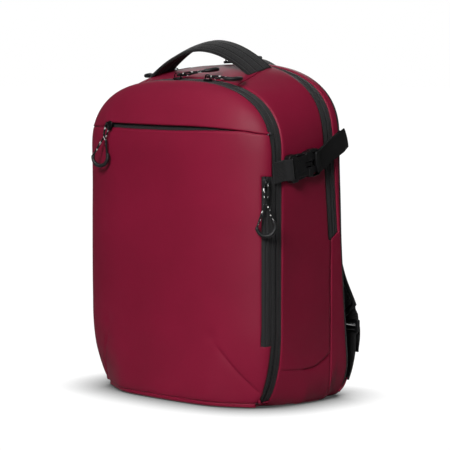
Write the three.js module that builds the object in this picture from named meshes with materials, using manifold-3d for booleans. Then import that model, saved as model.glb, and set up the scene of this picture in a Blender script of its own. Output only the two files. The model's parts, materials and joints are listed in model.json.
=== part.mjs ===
// Clamshell travel backpack, cabin size: 300 mm wide, 400 mm high, 200 mm deep.
// Millimetres, +Z up, X to the right, Y to the rear. The origin is the centre of the flat base.
import * as THREE from 'three';
import { mergeVertices } from 'three/addons/utils/BufferGeometryUtils.js';
import Module from 'manifold-3d';

const manifold = await Module();
manifold.setup();

// ---------- driving dimensions ----------
const GAP = 0.3; // clearance between neighbouring pieces
const HALF_WIDTH = 150;
const ARCH_RISE = 90; // height of the rounded top above the straight sides
const ARCH_POWER = 2.6; // 2 would be an ellipse, more is squarer
const FRONT_SPRING = 290; // height where the front arch starts
const REAR_SPRING = 308;
const SKIN = 4; // padded wall thickness
const TAPE_LAYER = { sunk: 1, thick: 2 }; // how a zip tape lies below the fabric's surface
const FRONT_ZIP = { front: -62, centre: -55, rear: -45 };
const MAIN_ZIP = { front: 27, width: 16, end: 192, slope: 0.075, level: 328 };
const REAR_SEAM = 41; // depth of the vertical seam below the main zip
const REAR_SECTION = 60; // depth whose outline the back panel takes
const REAR_EDGE = { depth: 54, level: 321, lean: 18, height: 285, power: 1.6 }; // leans out below the level
const BOOT_SEAM = { low: 42, rise: 16, start: 5, run: 37, power: 1.5 };
const TOP_SEAM = { front: 0.285, rear: 0.225 }; // where the top panel meets the side panels, along the arch
const SEAM_GAP = 0.002; // half of a seam's clearance, along the arch
const PANEL = 3; // thickness of the front panels and of the back panel
const FLAP = { depth: 33, crown: 3 }; // how far the front swells forward of its zip
const BORDER = { side: 111, dart: 165, floor: 20 }; // width of the front's rounded border
const BORDER_AT = { side: 1.9, dart: 2.5, floor: 3.15 }; // where along the outline it changes
const BACK = { depth: 12, crown: 2, border: 60 }; // how far the back panel swells to the rear
const POCKET_ZIP = { z: 324.5, slit: 6.5, left: -104, right: 113, overlap: 5 };
const QUICK_ZIP = { inner: 143.2, bottom: 75, top: 272 };
const WEBBING = { width: 25, thick: 1.6 };
const BUCKLE = { length: 38, width: 33, thick: 9, wall: 4, ladder: 15 };
const BUCKLE_TILT = THREE.MathUtils.degToRad(9);
const HANDLE_WIDTH = 38;
const HANDLE_THICK = 3.5;

// ---------- colours ----------
const FABRIC = { color: 0x75142c, roughness: 0.55, metalness: 0 };
const TAPE = { color: 0x2b2a2b, roughness: 0.85, metalness: 0 };
const WEB = { color: 0x1d1c1e, roughness: 0.8, metalness: 0 };
const PLASTIC = { color: 0x0d0d0e, roughness: 0.35, metalness: 0 };
const LINING = { color: 0x4a4a4e, roughness: 0.9, metalness: 0 };
const MESH_FABRIC = { color: 0x232224, roughness: 0.95, metalness: 0 };
const METAL = { color: 0x1a1a1c, roughness: 0.4, metalness: 0.7 };
const STIFFENER = { color: 0xd9d9d4, roughness: 0.6, metalness: 0 };

const root = new THREE.Group();
root.name = 'travel_backpack';

function add(name, geometry, finish, parent = root) {
  const mesh = new THREE.Mesh(geometry, new THREE.MeshStandardMaterial(finish));
  mesh.name = name;
  parent.add(mesh);
  return mesh;
}

// ---------- solids from grids of points ----------
function geometryFrom(points, faces) {
  const geometry = new THREE.BufferGeometry();
  geometry.setAttribute('position', new THREE.Float32BufferAttribute(points.flat(), 3));
  geometry.setIndex(faces.flat());
  return volumeOf(geometry) < 0 ? turnedOut(geometry) : geometry;
}

function volumeOf(geometry) {
  const at = geometry.attributes.position;
  const index = geometry.index.array;
  const [a, b, c] = [new THREE.Vector3(), new THREE.Vector3(), new THREE.Vector3()];
  let sum = 0;
  for (let i = 0; i < index.length; i += 3) {
    a.fromBufferAttribute(at, index[i]);
    b.fromBufferAttribute(at, index[i + 1]);
    c.fromBufferAttribute(at, index[i + 2]);
    sum += a.dot(b.cross(c)) / 6;
  }
  return sum;
}

function turnedOut(geometry) {
  const index = Array.from(geometry.index.array);
  for (let i = 0; i < index.length; i += 3) {
    [index[i + 1], index[i + 2]] = [index[i + 2], index[i + 1]];
  }
  geometry.setIndex(index);
  return geometry;
}

// A closed sheet between two grids of the same size: outer[row][column] and inner[row][column].
function sheetSolid(outer, inner) {
  const rows = outer.length;
  const columns = outer[0].length;
  const points = [...outer.flat(), ...inner.flat()];
  const id = (layer, r, c) => layer * rows * columns + r * columns + c;
  const faces = [];
  const quad = (a, b, c, d) => faces.push([a, b, c], [a, c, d]);
  for (let r = 0; r < rows - 1; r++) {
    for (let c = 0; c < columns - 1; c++) {
      quad(id(0, r, c), id(0, r, c + 1), id(0, r + 1, c + 1), id(0, r + 1, c));
      quad(id(1, r, c), id(1, r + 1, c), id(1, r + 1, c + 1), id(1, r, c + 1));
    }
  }
  for (let c = 0; c < columns - 1; c++) {
    quad(id(0, 0, c), id(1, 0, c), id(1, 0, c + 1), id(0, 0, c + 1));
    quad(id(0, rows - 1, c), id(0, rows - 1, c + 1), id(1, rows - 1, c + 1), id(1, rows - 1, c));
  }
  const last = columns - 1;
  for (let r = 0; r < rows - 1; r++) {
    quad(id(0, r, 0), id(0, r + 1, 0), id(1, r + 1, 0), id(1, r, 0));
    quad(id(0, r, last), id(1, r, last), id(1, r + 1, last), id(0, r + 1, last));
  }
  return geometryFrom(points, faces);
}

// A closed bowl between two stacks of rings that both end in a centre point.
function bowlSolid(outer, inner) {
  const rings = outer.rings.length;
  const count = outer.rings[0].length;
  const points = [...outer.rings.flat(), ...inner.rings.flat(), outer.centre, inner.centre];
  const id = (layer, r, i) => layer * rings * count + r * count + (i % count);
  const tips = [2 * rings * count, 2 * rings * count + 1];
  const faces = [];
  const quad = (a, b, c, d) => faces.push([a, b, c], [a, c, d]);
  for (let i = 0; i < count; i++) {
    for (let r = 0; r < rings - 1; r++) {
      quad(id(0, r, i), id(0, r, i + 1), id(0, r + 1, i + 1), id(0, r + 1, i));
      quad(id(1, r, i), id(1, r + 1, i), id(1, r + 1, i + 1), id(1, r, i + 1));
    }
    faces.push([id(0, rings - 1, i), id(0, rings - 1, i + 1), tips[0]]);
    faces.push([id(1, rings - 1, i + 1), id(1, rings - 1, i), tips[1]]);
    quad(id(0, 0, i), id(1, 0, i), id(1, 0, i + 1), id(0, 0, i + 1));
  }
  return geometryFrom(points, faces);
}

// ---------- joining and cutting ----------
function welded(geometry) {
  const bare = geometry.clone();
  bare.deleteAttribute('normal');
  bare.deleteAttribute('uv');
  return mergeVertices(bare, 1e-4);
}

function toSolid(geometry) {
  const merged = welded(geometry);
  const mesh = new manifold.Mesh({
    numProp: 3,
    vertProperties: new Float32Array(merged.attributes.position.array),
    triVerts: new Uint32Array(merged.index.array),
  });
  mesh.merge();
  return new manifold.Manifold(mesh);
}

function toGeometry(solid) {
  const mesh = solid.getMesh();
  const geometry = new THREE.BufferGeometry();
  geometry.setAttribute('position', new THREE.Float32BufferAttribute(mesh.vertProperties, 3));
  geometry.setIndex(Array.from(mesh.triVerts));
  return geometry;
}

const joined = (first, ...rest) =>
  toGeometry(rest.reduce((sum, geometry) => sum.add(toSolid(geometry)), toSolid(first)));
const cut = (first, ...rest) =>
  toGeometry(rest.reduce((left, geometry) => left.subtract(toSolid(geometry)), toSolid(first)));
const kept = (first, second) => toGeometry(toSolid(first).intersect(toSolid(second)));

function block(x0, x1, y0, y1, z0, z1) {
  const geometry = new THREE.BoxGeometry(x1 - x0, y1 - y0, z1 - z0);
  geometry.translate((x0 + x1) / 2, (y0 + y1) / 2, (z0 + z1) / 2);
  return geometry;
}

// ---------- the body's cross-section ----------
const lerp = THREE.MathUtils.lerp;
const clamp01 = (value) => THREE.MathUtils.clamp(value, 0, 1);

// Width and height of the rounded bottom corner at stations along the depth.
const CORNERS = [
  { y: -62, width: 37, height: 100 },
  { y: -47, width: 34, height: 92 },
  { y: 0, width: 13, height: 32 },
  { y: 41, width: 14, height: 34 },
  { y: 54, width: 24, height: 54 },
];

function cornerAt(y) {
  const next = CORNERS.findIndex((station) => station.y >= y);
  if (next < 0) return CORNERS[CORNERS.length - 1];
  if (next === 0) return CORNERS[0];
  const [a, b] = [CORNERS[next - 1], CORNERS[next]];
  const t = (y - a.y) / (b.y - a.y);
  return { width: lerp(a.width, b.width, t), height: lerp(a.height, b.height, t) };
}

function springAt(y) {
  const t = clamp01((y - FRONT_ZIP.centre) / (MAIN_ZIP.front - FRONT_ZIP.centre));
  return lerp(FRONT_SPRING, REAR_SPRING, t);
}

// A point of the body's surface. s runs from the top centre (0) over the arch (to 1), down the
// side (to 2), round the corner (to 3) and to the bottom centre (4). Negative s is the left side.
function surface(s, y, inset = 0) {
  const side = Math.sign(s) || 1;
  const q = Math.abs(s);
  const corner = cornerAt(y);
  const spring = springAt(y);
  let x;
  let z;
  if (q <= 1) {
    const angle = ((1 - q) * Math.PI) / 2;
    x = (HALF_WIDTH - inset) * Math.cos(angle) ** (2 / ARCH_POWER);
    z = spring + (ARCH_RISE - inset) * Math.sin(angle) ** (2 / ARCH_POWER);
    if (q === 0) x = 0;
    if (q === 1) z = spring;
  } else if (q <= 2) {
    x = HALF_WIDTH - inset;
    z = lerp(spring, corner.height, q - 1);
  } else if (q <= 3) {
    const angle = ((q - 2) * Math.PI) / 2;
    x = HALF_WIDTH - corner.width + (corner.width - inset) * Math.cos(angle);
    z = corner.height - (corner.height - inset) * Math.sin(angle);
  } else {
    x = lerp(HALF_WIDTH - corner.width, 0, q - 3);
    z = inset;
  }
  return [side * x, y, z];
}

// The value of s at which the surface has a given height.
function sAtHeight(z, y) {
  const corner = cornerAt(y);
  const spring = springAt(y);
  if (z > spring) {
    return 1 - (2 / Math.PI) * Math.asin(((z - spring) / ARCH_RISE) ** (ARCH_POWER / 2));
  }
  if (z > corner.height) return 1 + (spring - z) / (spring - corner.height);
  return 2 + (2 / Math.PI) * Math.asin((corner.height - z) / corner.height);
}

const mainZipFront = (z) => MAIN_ZIP.front + Math.max(0, MAIN_ZIP.level - z) * MAIN_ZIP.slope;

// Rear edge of the body: it leans back towards the bottom.
function rearEdge(z) {
  const drop = clamp01((REAR_EDGE.level - z) / REAR_EDGE.height);
  return REAR_EDGE.depth + REAR_EDGE.lean * drop ** REAR_EDGE.power;
}

// The seam where the side panels overlap the base, rising towards the rear.
function bootSeam(y) {
  const along = clamp01((y - BOOT_SEAM.start) / BOOT_SEAM.run);
  return BOOT_SEAM.low + BOOT_SEAM.rise * along ** BOOT_SEAM.power;
}

const steps = (from, to, count) => Array.from({ length: count + 1 }, (_, i) => lerp(from, to, i / count));

// A wall piece that follows the body's surface. sList holds values of s (or functions of y), yFrom
// and yTo give the front and rear edge at a given s, and outer and inner are depths below the surface.
function wall(sList, yFrom, yTo, columns, outer, inner) {
  const grid = (inset) =>
    sList.map((entry) => {
      const middle = typeof entry === 'function' ? entry(0) : entry;
      const [from, to] = [yFrom(middle), yTo(middle)];
      return steps(from, to, columns).map((y) => {
        const s = typeof entry === 'function' ? entry(y) : entry;
        return surface(s, y, inset);
      });
    });
  return sheetSolid(grid(outer), grid(inner));
}

const heightAt = (s) => surface(s, MAIN_ZIP.front)[2];

// ---------- body walls ----------
function bodyRear(s) {
  const z = heightAt(s);
  return (z > MAIN_ZIP.end ? mainZipFront(z) : REAR_SEAM) - GAP;
}

const bodyFront = () => FRONT_ZIP.rear + GAP;

// The seams of the top panel draw together towards the rear.
function topSeam(y) {
  const t = clamp01((y - FRONT_ZIP.rear) / (MAIN_ZIP.front - FRONT_ZIP.rear));
  return lerp(TOP_SEAM.front, TOP_SEAM.rear, t);
}
const topRows = steps(-1, 1, 10).map((t) => (y) => t * (topSeam(y) - SEAM_GAP));
add('top_panel', wall(topRows, bodyFront, bodyRear, 4, 0, SKIN), FABRIC);

const SIDES = [[1, 'right'], [-1, 'left']];
const ZIP_END = sAtHeight(MAIN_ZIP.end, MAIN_ZIP.front); // where the main zip stops, along the outline
const BOOT_GAP = 0.004; // half of the clearance at the boot's seam, along the outline
const KNEE = 0.001; // half of the step in the rear edge below the main zip, along the outline

for (const [side, name] of SIDES) {
  const seam = (y) => side * (sAtHeight(bootSeam(y), y) - BOOT_GAP);
  const arch = steps(0, 1, 8).map((t) => (y) => side * lerp(topSeam(y) + SEAM_GAP, 1, t));
  const straight = [
    ...steps(1.15, ZIP_END - KNEE, 2),
    ...steps(ZIP_END + KNEE, 1.93, 3),
  ].map((s) => side * s);
  add(`side_panel_${name}`, wall([...arch, ...straight, seam], bodyFront, bodyRear, 6, 0, SKIN), FABRIC);
}

// The boot runs from its seam on one side, under the base, to its seam on the other side.
function baseBoot() {
  const down = (t) => (y) => lerp(sAtHeight(bootSeam(y), y) + BOOT_GAP, 3, t);
  const right = [down(0), down(0.35), down(0.7), () => 3, () => 3.5];
  const left = right.map((entry) => (y) => -entry(y)).reverse();
  return wall([...right, 4, ...left], bodyFront, () => REAR_SEAM - GAP, 6, 0, SKIN);
}
add('base_boot', baseBoot(), FABRIC);

const HINGE = { low: 0.6, high: 2.6 };
function hingeStrip() {
  const reach = HALF_WIDTH - CORNERS[0].width;
  return block(-reach, reach, FRONT_ZIP.centre + GAP, FRONT_ZIP.rear - GAP, HINGE.low, HINGE.high);
}
add('flap_hinge_strip', hingeStrip(), FABRIC);

// The narrow wall behind the main zip, which widens below the zip's ends.
const mirroredList = (half) => [...half.map((s) => -s).reverse(), 0, ...half];
const SHOULDER = 0.012; // half of the slope from the zip's edge to the vertical seam, along the outline

function rearWall() {
  const right = [...steps(0, 1, 10).slice(1), ...steps(1.2, ZIP_END - SHOULDER, 2)];
  const low = [ZIP_END + SHOULDER, ...steps(1.5, 2, 2), ...steps(2.25, 3, 3), 3.998];
  const list = mirroredList([...right, ...low]);
  const front = (s) => {
    const z = heightAt(s);
    return z > MAIN_ZIP.end ? mainZipFront(z) + MAIN_ZIP.width + GAP : REAR_SEAM + GAP;
  };
  return wall(list, front, (s) => rearEdge(surface(s, REAR_SECTION)[2]) - GAP, 2, 0, SKIN);
}
add('rear_wall', rearWall(), FABRIC);

const tapeFoot = TAPE_LAYER.sunk + TAPE_LAYER.thick;
const tapeWall = (list, from, to) => wall(list, from, to, 1, TAPE_LAYER.sunk, tapeFoot);

function mainZipTape() {
  const list = mirroredList([...steps(0, 1, 10).slice(1), ...steps(1.2, ZIP_END - SHOULDER - KNEE, 2)]);
  const front = (s) => mainZipFront(heightAt(s)) + GAP;
  const rear = (s) => mainZipFront(heightAt(s)) + MAIN_ZIP.width - GAP;
  return tapeWall(list, front, rear);
}
add('main_zip', mainZipTape(), TAPE);

const FRONT_ZIP_END = 2.84; // along the outline, just above the floor
function frontZipTape(from, to) {
  const list = mirroredList([...steps(0, 1, 10).slice(1), 1.5, ...steps(2, FRONT_ZIP_END, 4)]);
  return tapeWall(list, () => from, () => to);
}
add('front_zip_body_side', frontZipTape(FRONT_ZIP.centre + GAP, FRONT_ZIP.rear - GAP), TAPE);

const flap = new THREE.Group();
root.add(flap);
add('front_zip_flap_side', frontZipTape(FRONT_ZIP.front + GAP, FRONT_ZIP.centre - GAP), TAPE, flap);

// ---------- swelling panels: the front flap and the back ----------
const CENTRE_HEIGHT = 190;
const LOOP = [
  ...steps(0, 1, 8).slice(0, -1),
  ...steps(1, 2, 4).slice(0, -1),
  ...steps(2, 3, 4).slice(0, -1),
  ...steps(3, 4, 3),
];
const FULL_LOOP = [...LOOP, ...LOOP.slice(1, -1).map((s) => -s).reverse()];
const RINGS = [1, 0.99, 0.965, 0.92, 0.84, 0.7, 0.4];

// Width of the rounded border: wide at the sides, wider at the darted corners, tight at the floor.
function borderWidth(s) {
  const q = Math.abs(s);
  const { side, dart, floor } = BORDER_AT;
  if (q <= side) return BORDER.side;
  if (q <= dart) return lerp(BORDER.side, BORDER.dart, (q - side) / (dart - side));
  if (q <= floor) return lerp(BORDER.dart, BORDER.floor, (q - dart) / (floor - dart));
  return BORDER.floor;
}

const roundOver = (distance, width) => Math.sqrt(1 - (1 - clamp01(distance / width)) ** 2);

// Rings that swell from a rim in the given section. sign is the direction along Y.
function swollen(inset, { section, sign, rim, depth, crown, border }) {
  const place = (s, r) => {
    const [x, , z] = surface(s, section, inset);
    const reach = Math.hypot(x, z - CENTRE_HEIGHT);
    const bulge = (depth - inset) * roundOver((1 - r) * reach, border(s)) + crown * (1 - r * r);
    const height = CENTRE_HEIGHT + r * (z - CENTRE_HEIGHT);
    return [r * x, rim(height) + sign * bulge, height];
  };
  const rings = RINGS.map((r) => FULL_LOOP.map((s) => place(s, r)));
  const centre = [0, rim(CENTRE_HEIGHT) + sign * (depth - inset + crown), CENTRE_HEIGHT];
  return { rings, centre };
}

const shell = (swell, outer, inner) => bowlSolid(swollen(outer, swell), swollen(inner, swell));
const frontRim = () => FRONT_ZIP.front;
const frontSwell = { ...FLAP, section: FRONT_ZIP.front, sign: -1, rim: frontRim, border: borderWidth };

// Depth of the front's outer face at a point, by walking along the ray from the panel's centre.
function frontFace(x, z) {
  const angle = Math.atan2(z - CENTRE_HEIGHT, x);
  const reachTo = (s) => {
    const [px, , pz] = surface(s, FRONT_ZIP.front);
    return { angle: Math.atan2(pz - CENTRE_HEIGHT, px), reach: Math.hypot(px, pz - CENTRE_HEIGHT) };
  };
  const away = (sample) => Math.abs(sample.angle - angle);
  const samples = steps(-2.4, 2.4, 960).map(reachTo);
  const nearest = samples.reduce((a, b) => (away(b) < away(a) ? b : a));
  const r = Math.hypot(x, z - CENTRE_HEIGHT) / nearest.reach;
  const rise = FLAP.depth * roundOver((1 - r) * nearest.reach, BORDER.side);
  return FRONT_ZIP.front - rise - FLAP.crown * (1 - r * r);
}

// The pocket slit opens between the two panels; beyond its ends they meet in a seam.
const FAR = 400;
const slab = (z0, z1) => block(-FAR, FAR, -FAR, FAR, z0, z1);
const slitTop = POCKET_ZIP.z + POCKET_ZIP.slit / 2;
const slitBottom = POCKET_ZIP.z - POCKET_ZIP.slit / 2;
const pocketSlit = block(POCKET_ZIP.left, POCKET_ZIP.right, -FAR, FAR, slitBottom, slitTop);
const frontSkin = shell(frontSwell, 0, PANEL);
const upperPanel = cut(kept(frontSkin, slab(POCKET_ZIP.z + GAP / 2, 2 * FAR)), pocketSlit);
add('front_upper_panel', upperPanel, FABRIC, flap);

// The quick-access zip lies on the rounded right edge of the front, beside the arched zip.
const besideQuickZip = (inner, margin) =>
  block(inner, FAR, -FAR, FAR, QUICK_ZIP.bottom - margin, QUICK_ZIP.top + margin);
const quickOpening = besideQuickZip(QUICK_ZIP.inner - GAP, GAP);
const lowerPanel = cut(kept(frontSkin, slab(-FAR, POCKET_ZIP.z - GAP / 2)), pocketSlit, quickOpening);
add('front_lower_panel', lowerPanel, FABRIC, flap);

const underSkin = shell(frontSwell, PANEL + GAP, PANEL + TAPE_LAYER.thick);
const [tapeLow, tapeHigh] = [slitBottom - POCKET_ZIP.overlap, slitTop + POCKET_ZIP.overlap];
const pocketWindow = block(POCKET_ZIP.left, POCKET_ZIP.right, -FAR, FAR, tapeLow, tapeHigh);
add('pocket_zip', kept(underSkin, pocketWindow), TAPE, flap);

const edgeTape = shell(frontSwell, TAPE_LAYER.sunk, tapeFoot);
add('quick_pocket_zip', kept(edgeTape, besideQuickZip(QUICK_ZIP.inner, 0)), TAPE, flap);

// A flat board of the body's outline, set in from it. depth is where its front face lies.
const BOARD_CORNER = 20;
function outlineBoard({ inset, bottom, section, thickness, depth }) {
  const shape = new THREE.Shape();
  const half = [...steps(0, 1, 8), ...steps(1.5, 1.9, 1)];
  const right = half.map((s) => surface(s, section, inset));
  const points = [...right.map(([x, , z]) => [x, z]), [HALF_WIDTH - inset - BOARD_CORNER, bottom]];
  const left = points.slice(1).map(([x, z]) => [-x, z]).reverse();
  [...points, ...left].forEach(([x, z], i) => (i ? shape.lineTo(x, z) : shape.moveTo(x, z)));
  const board = new THREE.ExtrudeGeometry(shape, { depth: thickness, bevelEnabled: false });
  board.rotateX(Math.PI / 2);
  board.translate(0, depth + thickness, 0);
  return board;
}
const lining = { inset: 8, bottom: 12, section: FRONT_ZIP.front, thickness: 2, depth: -61 };
const divider = { inset: 6, bottom: 8, section: MAIN_ZIP.front, thickness: 3, depth: 20 };
const frameSheet = { inset: 12, bottom: 12, section: MAIN_ZIP.front, thickness: 2, depth: 46 };
add('flap_lining', outlineBoard(lining), LINING, flap);
add('divider_panel', outlineBoard(divider), LINING);
add('frame_sheet', outlineBoard(frameSheet), STIFFENER);

const STIFF = { half: 118, front: -40, rear: 36, low: SKIN + GAP, high: SKIN + 2.5 };
const stiffener = block(-STIFF.half, STIFF.half, STIFF.front, STIFF.rear, STIFF.low, STIFF.high);
add('base_stiffener', stiffener, STIFFENER);

// ---------- back panel and its cushions ----------
const backSwell = { ...BACK, section: REAR_SECTION, sign: 1, rim: rearEdge, border: () => BACK.border };
add('back_panel', shell(backSwell, 0, PANEL), MESH_FABRIC);

const backFace = (z) => rearEdge(z) + BACK.depth + BACK.crown;

// A cushion that follows the back panel, standing off it between two offsets.
function backPad({ left, right, bottom, top, from, to }) {
  const rows = steps(bottom, top, 6);
  const face = (offset) =>
    rows.map((z) => steps(left, right, 2).map((x) => [x, backFace(z) + offset, z]));
  return sheetSolid(face(to), face(from));
}
const PAD = { inner: 16, outer: 104, bottom: 60, top: 330, from: 1, to: 8 };
for (const [side, name] of SIDES) {
  const [left, right] = [side * PAD.inner, side * PAD.outer].sort((a, b) => a - b);
  add(`back_pad_${name}`, backPad({ ...PAD, left, right }), MESH_FABRIC);
}
const SLEEVE = { left: -108, right: 108, bottom: 150, top: 225, from: PAD.to + 0.6, to: PAD.to + 2.4 };
add('luggage_sleeve', backPad(SLEEVE), FABRIC);

// ---------- strips of webbing ----------
// A flat strip along a path. across(i) is the direction of its width at the path's point i.
function ribbon(path, across, width, thickness) {
  const points = path.map((p) => new THREE.Vector3(...p));
  const row = (i, lift) => {
    const ahead = points[Math.min(i + 1, points.length - 1)];
    const behind = points[Math.max(i - 1, 0)];
    const along = ahead.clone().sub(behind).normalize();
    const wide = across(i).clone().normalize();
    const up = new THREE.Vector3().crossVectors(along, wide).normalize();
    return [-width(i) / 2, width(i) / 2].map((offset) => {
      return points[i].clone().addScaledVector(wide, offset).addScaledVector(up, lift).toArray();
    });
  };
  const layer = (lift) => points.map((_, i) => row(i, lift));
  return sheetSolid(layer(thickness / 2), layer(-thickness / 2));
}

const constant = (value) => () => value;
const X_AXIS = new THREE.Vector3(1, 0, 0);
const Y_AXIS = new THREE.Vector3(0, 1, 0);

// ---------- carry handle ----------
// The handle stands a little askew: its left foot is further forward than its right one.
const HANDLE = { left: [-78, -12, 393], right: [61, 2, 397], peak: 422, lean: 11 / 36, curve: 1.9 };
const handleAcross = new THREE.Vector3(0, 1, HANDLE.lean);
const handleArch = steps(-1, 1, 14).map((t) => {
  const [x, y, foot] = [0, 1, 2].map((i) => lerp(HANDLE.left[i], HANDLE.right[i], (t + 1) / 2));
  return [x, y, foot + (HANDLE.peak - foot) * (1 - Math.abs(t) ** HANDLE.curve)];
});
const handle = ribbon(handleArch, constant(handleAcross), constant(HANDLE_WIDTH), HANDLE_THICK);
add('carry_handle', handle, WEB);

// The short flat end of the webbing beyond each foot, lying on the fabric. from and to are values of s.
const HANDLE_ENDS = { right: { from: 0.238, to: 0.27, y: 2 }, left: { from: -0.315, to: -0.345, y: -12 } };
const HANDLE_TAB = { lift: 4.4, thick: 2, across: new THREE.Vector3(0, 1, 0.22) };
for (const [name, end] of Object.entries(HANDLE_ENDS)) {
  const foot = steps(end.from, end.to, 2).map((s) => surface(s, end.y, -HANDLE_TAB.lift));
  const tab = ribbon(foot, constant(HANDLE_TAB.across), constant(HANDLE_WIDTH), HANDLE_TAB.thick);
  add(`handle_end_${name}`, tab, WEB);
}

const HANG_LOOP = { halfSpan: 34, y: 66, foot: 396, rise: 7, width: 10, thick: 2 };
function hangLoop() {
  const { halfSpan, y, foot, rise, width, thick } = HANG_LOOP;
  const arch = steps(-1, 1, 8).map((t) => [halfSpan * t, y, foot + rise * (1 - t * t)]);
  return ribbon(arch, constant(Y_AXIS), constant(width), thick);
}
add('hang_loop', hangLoop(), WEB);

// ---------- shoulder straps ----------
// Stations of the right strap from its top to its ladder lock: the middle line and the width there.
const STRAP = [
  { at: [52, 74, 372], width: 58 },
  { at: [56, 81, 352], width: 60 },
  { at: [64, 88, 315], width: 62 },
  { at: [70, 93, 270], width: 62 },
  { at: [75, 97, 220], width: 60 },
  { at: [82, 100, 175], width: 52 },
  { at: [98, 102, 132], width: 42 },
  { at: [121, 101, 98], width: 34 },
];
const STRAP_THICK = 10;
const LOCK = { x: 127, y: 99, top: 90, bottom: 74, width: 34, thick: 6, rail: 4, slotAt: 5, slot: 3.6 };
const LOWER_WEBBING = [[129, 97, 68], [131, 95, 50], [133, 89, 32], [135, 83, 18]];
const mirrorX = (side) => ([x, y, z]) => [side * x, y, z];

function ladderLock(side) {
  const [x0, x1] = [side * LOCK.x - LOCK.width / 2, side * LOCK.x + LOCK.width / 2];
  const half = LOCK.slot / 2;
  const body = block(x0, x1, LOCK.y - LOCK.thick / 2, LOCK.y + LOCK.thick / 2, LOCK.bottom, LOCK.top);
  const slot = (z) => block(x0 + LOCK.rail, x1 - LOCK.rail, LOCK.y - FAR, LOCK.y + FAR, z - half, z + half);
  return cut(body, slot(LOCK.bottom + LOCK.slotAt), slot(LOCK.top - LOCK.slotAt));
}

for (const [side, name] of SIDES) {
  const harness = new THREE.Group();
  root.add(harness);
  const path = STRAP.map((station) => mirrorX(side)(station.at));
  const strap = ribbon(path, constant(X_AXIS), (i) => STRAP[i].width, STRAP_THICK);
  add(`shoulder_strap_${name}`, strap, MESH_FABRIC, harness);
  add(`ladder_lock_${name}`, ladderLock(side), PLASTIC, harness);
  const lower = LOWER_WEBBING.map(mirrorX(side));
  const webbing = ribbon(lower, constant(X_AXIS), constant(WEBBING.width), WEBBING.thick);
  add(`lower_webbing_${name}`, webbing, WEB);
}

// The padded band across the top of the back that both straps are sewn into.
const YOKE = { half: 82, thick: 3, rows: [{ y: 72, z: 377 }, { y: 70, z: 383 }, { y: 66, z: 389 }] };
function strapYoke() {
  const across = steps(-YOKE.half, YOKE.half, 4);
  const face = (offset) => YOKE.rows.map(({ y, z }) => across.map((x) => [x, y + offset, z]));
  return sheetSolid(face(YOKE.thick), face(0));
}
add('strap_yoke', strapYoke(), MESH_FABRIC);

// ---------- compression straps ----------
// Local frame of a strap: X runs along the strap to the rear, Y across it, Z away from the bag.
const STRAP_START = { y: -41, z: 279, x: HALF_WIDTH + 0.8 };

function sidePlace(geometry, side) {
  const turned = welded(geometry);
  const along = new THREE.Vector3(0, Math.cos(BUCKLE_TILT), Math.sin(BUCKLE_TILT));
  const wide = new THREE.Vector3().crossVectors(X_AXIS, along);
  turned.applyMatrix4(new THREE.Matrix4().makeBasis(along, wide, X_AXIS));
  turned.translate(STRAP_START.x, STRAP_START.y, STRAP_START.z);
  if (side > 0) return turned;
  turned.scale(-1, 1, 1);
  return turnedOut(turned);
}

// A plate with rounded corners, lying in the local XY plane.
function plate(x0, x1, halfWidth, z0, z1, radius) {
  const shape = new THREE.Shape();
  shape.moveTo(x0 + radius, -halfWidth);
  shape.lineTo(x1 - radius, -halfWidth);
  shape.absarc(x1 - radius, -halfWidth + radius, radius, -Math.PI / 2, 0);
  shape.absarc(x1 - radius, halfWidth - radius, radius, 0, Math.PI / 2);
  shape.absarc(x0 + radius, halfWidth - radius, radius, Math.PI / 2, Math.PI);
  shape.absarc(x0 + radius, -halfWidth + radius, radius, Math.PI, 1.5 * Math.PI);
  const options = { depth: z1 - z0, bevelEnabled: false, curveSegments: 3 };
  return new THREE.ExtrudeGeometry(shape, options).translate(0, 0, z0);
}

// The female half: a shell with a pocket for the prongs, a window on each edge and a slot for webbing.
const SHELL = 2; // thickness of the female half's walls, front and back
const WINDOW = { from: 14, to: 30, deep: 5 };
const WEB_SLOT = { from: 4, to: 7 };
const PRONG = { shell: 2.8, tongue: 3, inner: 7, outer: 11, tip: 15 };
const LADDER_SLOTS = [4, 10]; // where the two slots of the male half's ladder start
const LADDER_SLOT = 2.6;
const buckleHalf = BUCKLE.width / 2;
const bladeHalf = buckleHalf - BUCKLE.wall; // half width of the webbing slots and the pocket

function femaleBuckle() {
  const { length, thick } = BUCKLE;
  const body = plate(0, length, buckleHalf, 0, thick, 5);
  const pocket = block(WINDOW.from - BUCKLE.wall, length + 1, -bladeHalf, bladeHalf, SHELL, thick - SHELL);
  const windows = [-1, 1].map((edge) => {
    const [y0, y1] = [edge * (buckleHalf + 1), edge * (buckleHalf - WINDOW.deep)].sort((a, b) => a - b);
    return block(WINDOW.from, WINDOW.to, y0, y1, SHELL, thick - SHELL);
  });
  const webSlot = block(WEB_SLOT.from, WEB_SLOT.to, -bladeHalf, bladeHalf, -1, thick + 1);
  return cut(body, pocket, ...windows, webSlot);
}

// The male half: a ladder for the webbing, with a tongue and two prongs inside the female half.
function maleBuckle() {
  const { length, thick, ladder } = BUCKLE;
  const start = length + GAP;
  const body = plate(start, start + ladder, buckleHalf, 0, thick, 3);
  const bar = (x0, y0, y1) => block(x0, start + 1, y0, y1, PRONG.shell, thick - PRONG.shell);
  const tongue = bar(WINDOW.from, -PRONG.tongue, PRONG.tongue);
  const prongs = [bar(PRONG.tip, -PRONG.outer, -PRONG.inner), bar(PRONG.tip, PRONG.inner, PRONG.outer)];
  const slots = LADDER_SLOTS.map((at) => {
    return block(start + at, start + at + LADDER_SLOT, -bladeHalf, bladeHalf, -1, thick + 1);
  });
  return cut(joined(body, tongue, ...prongs), ...slots);
}

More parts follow.
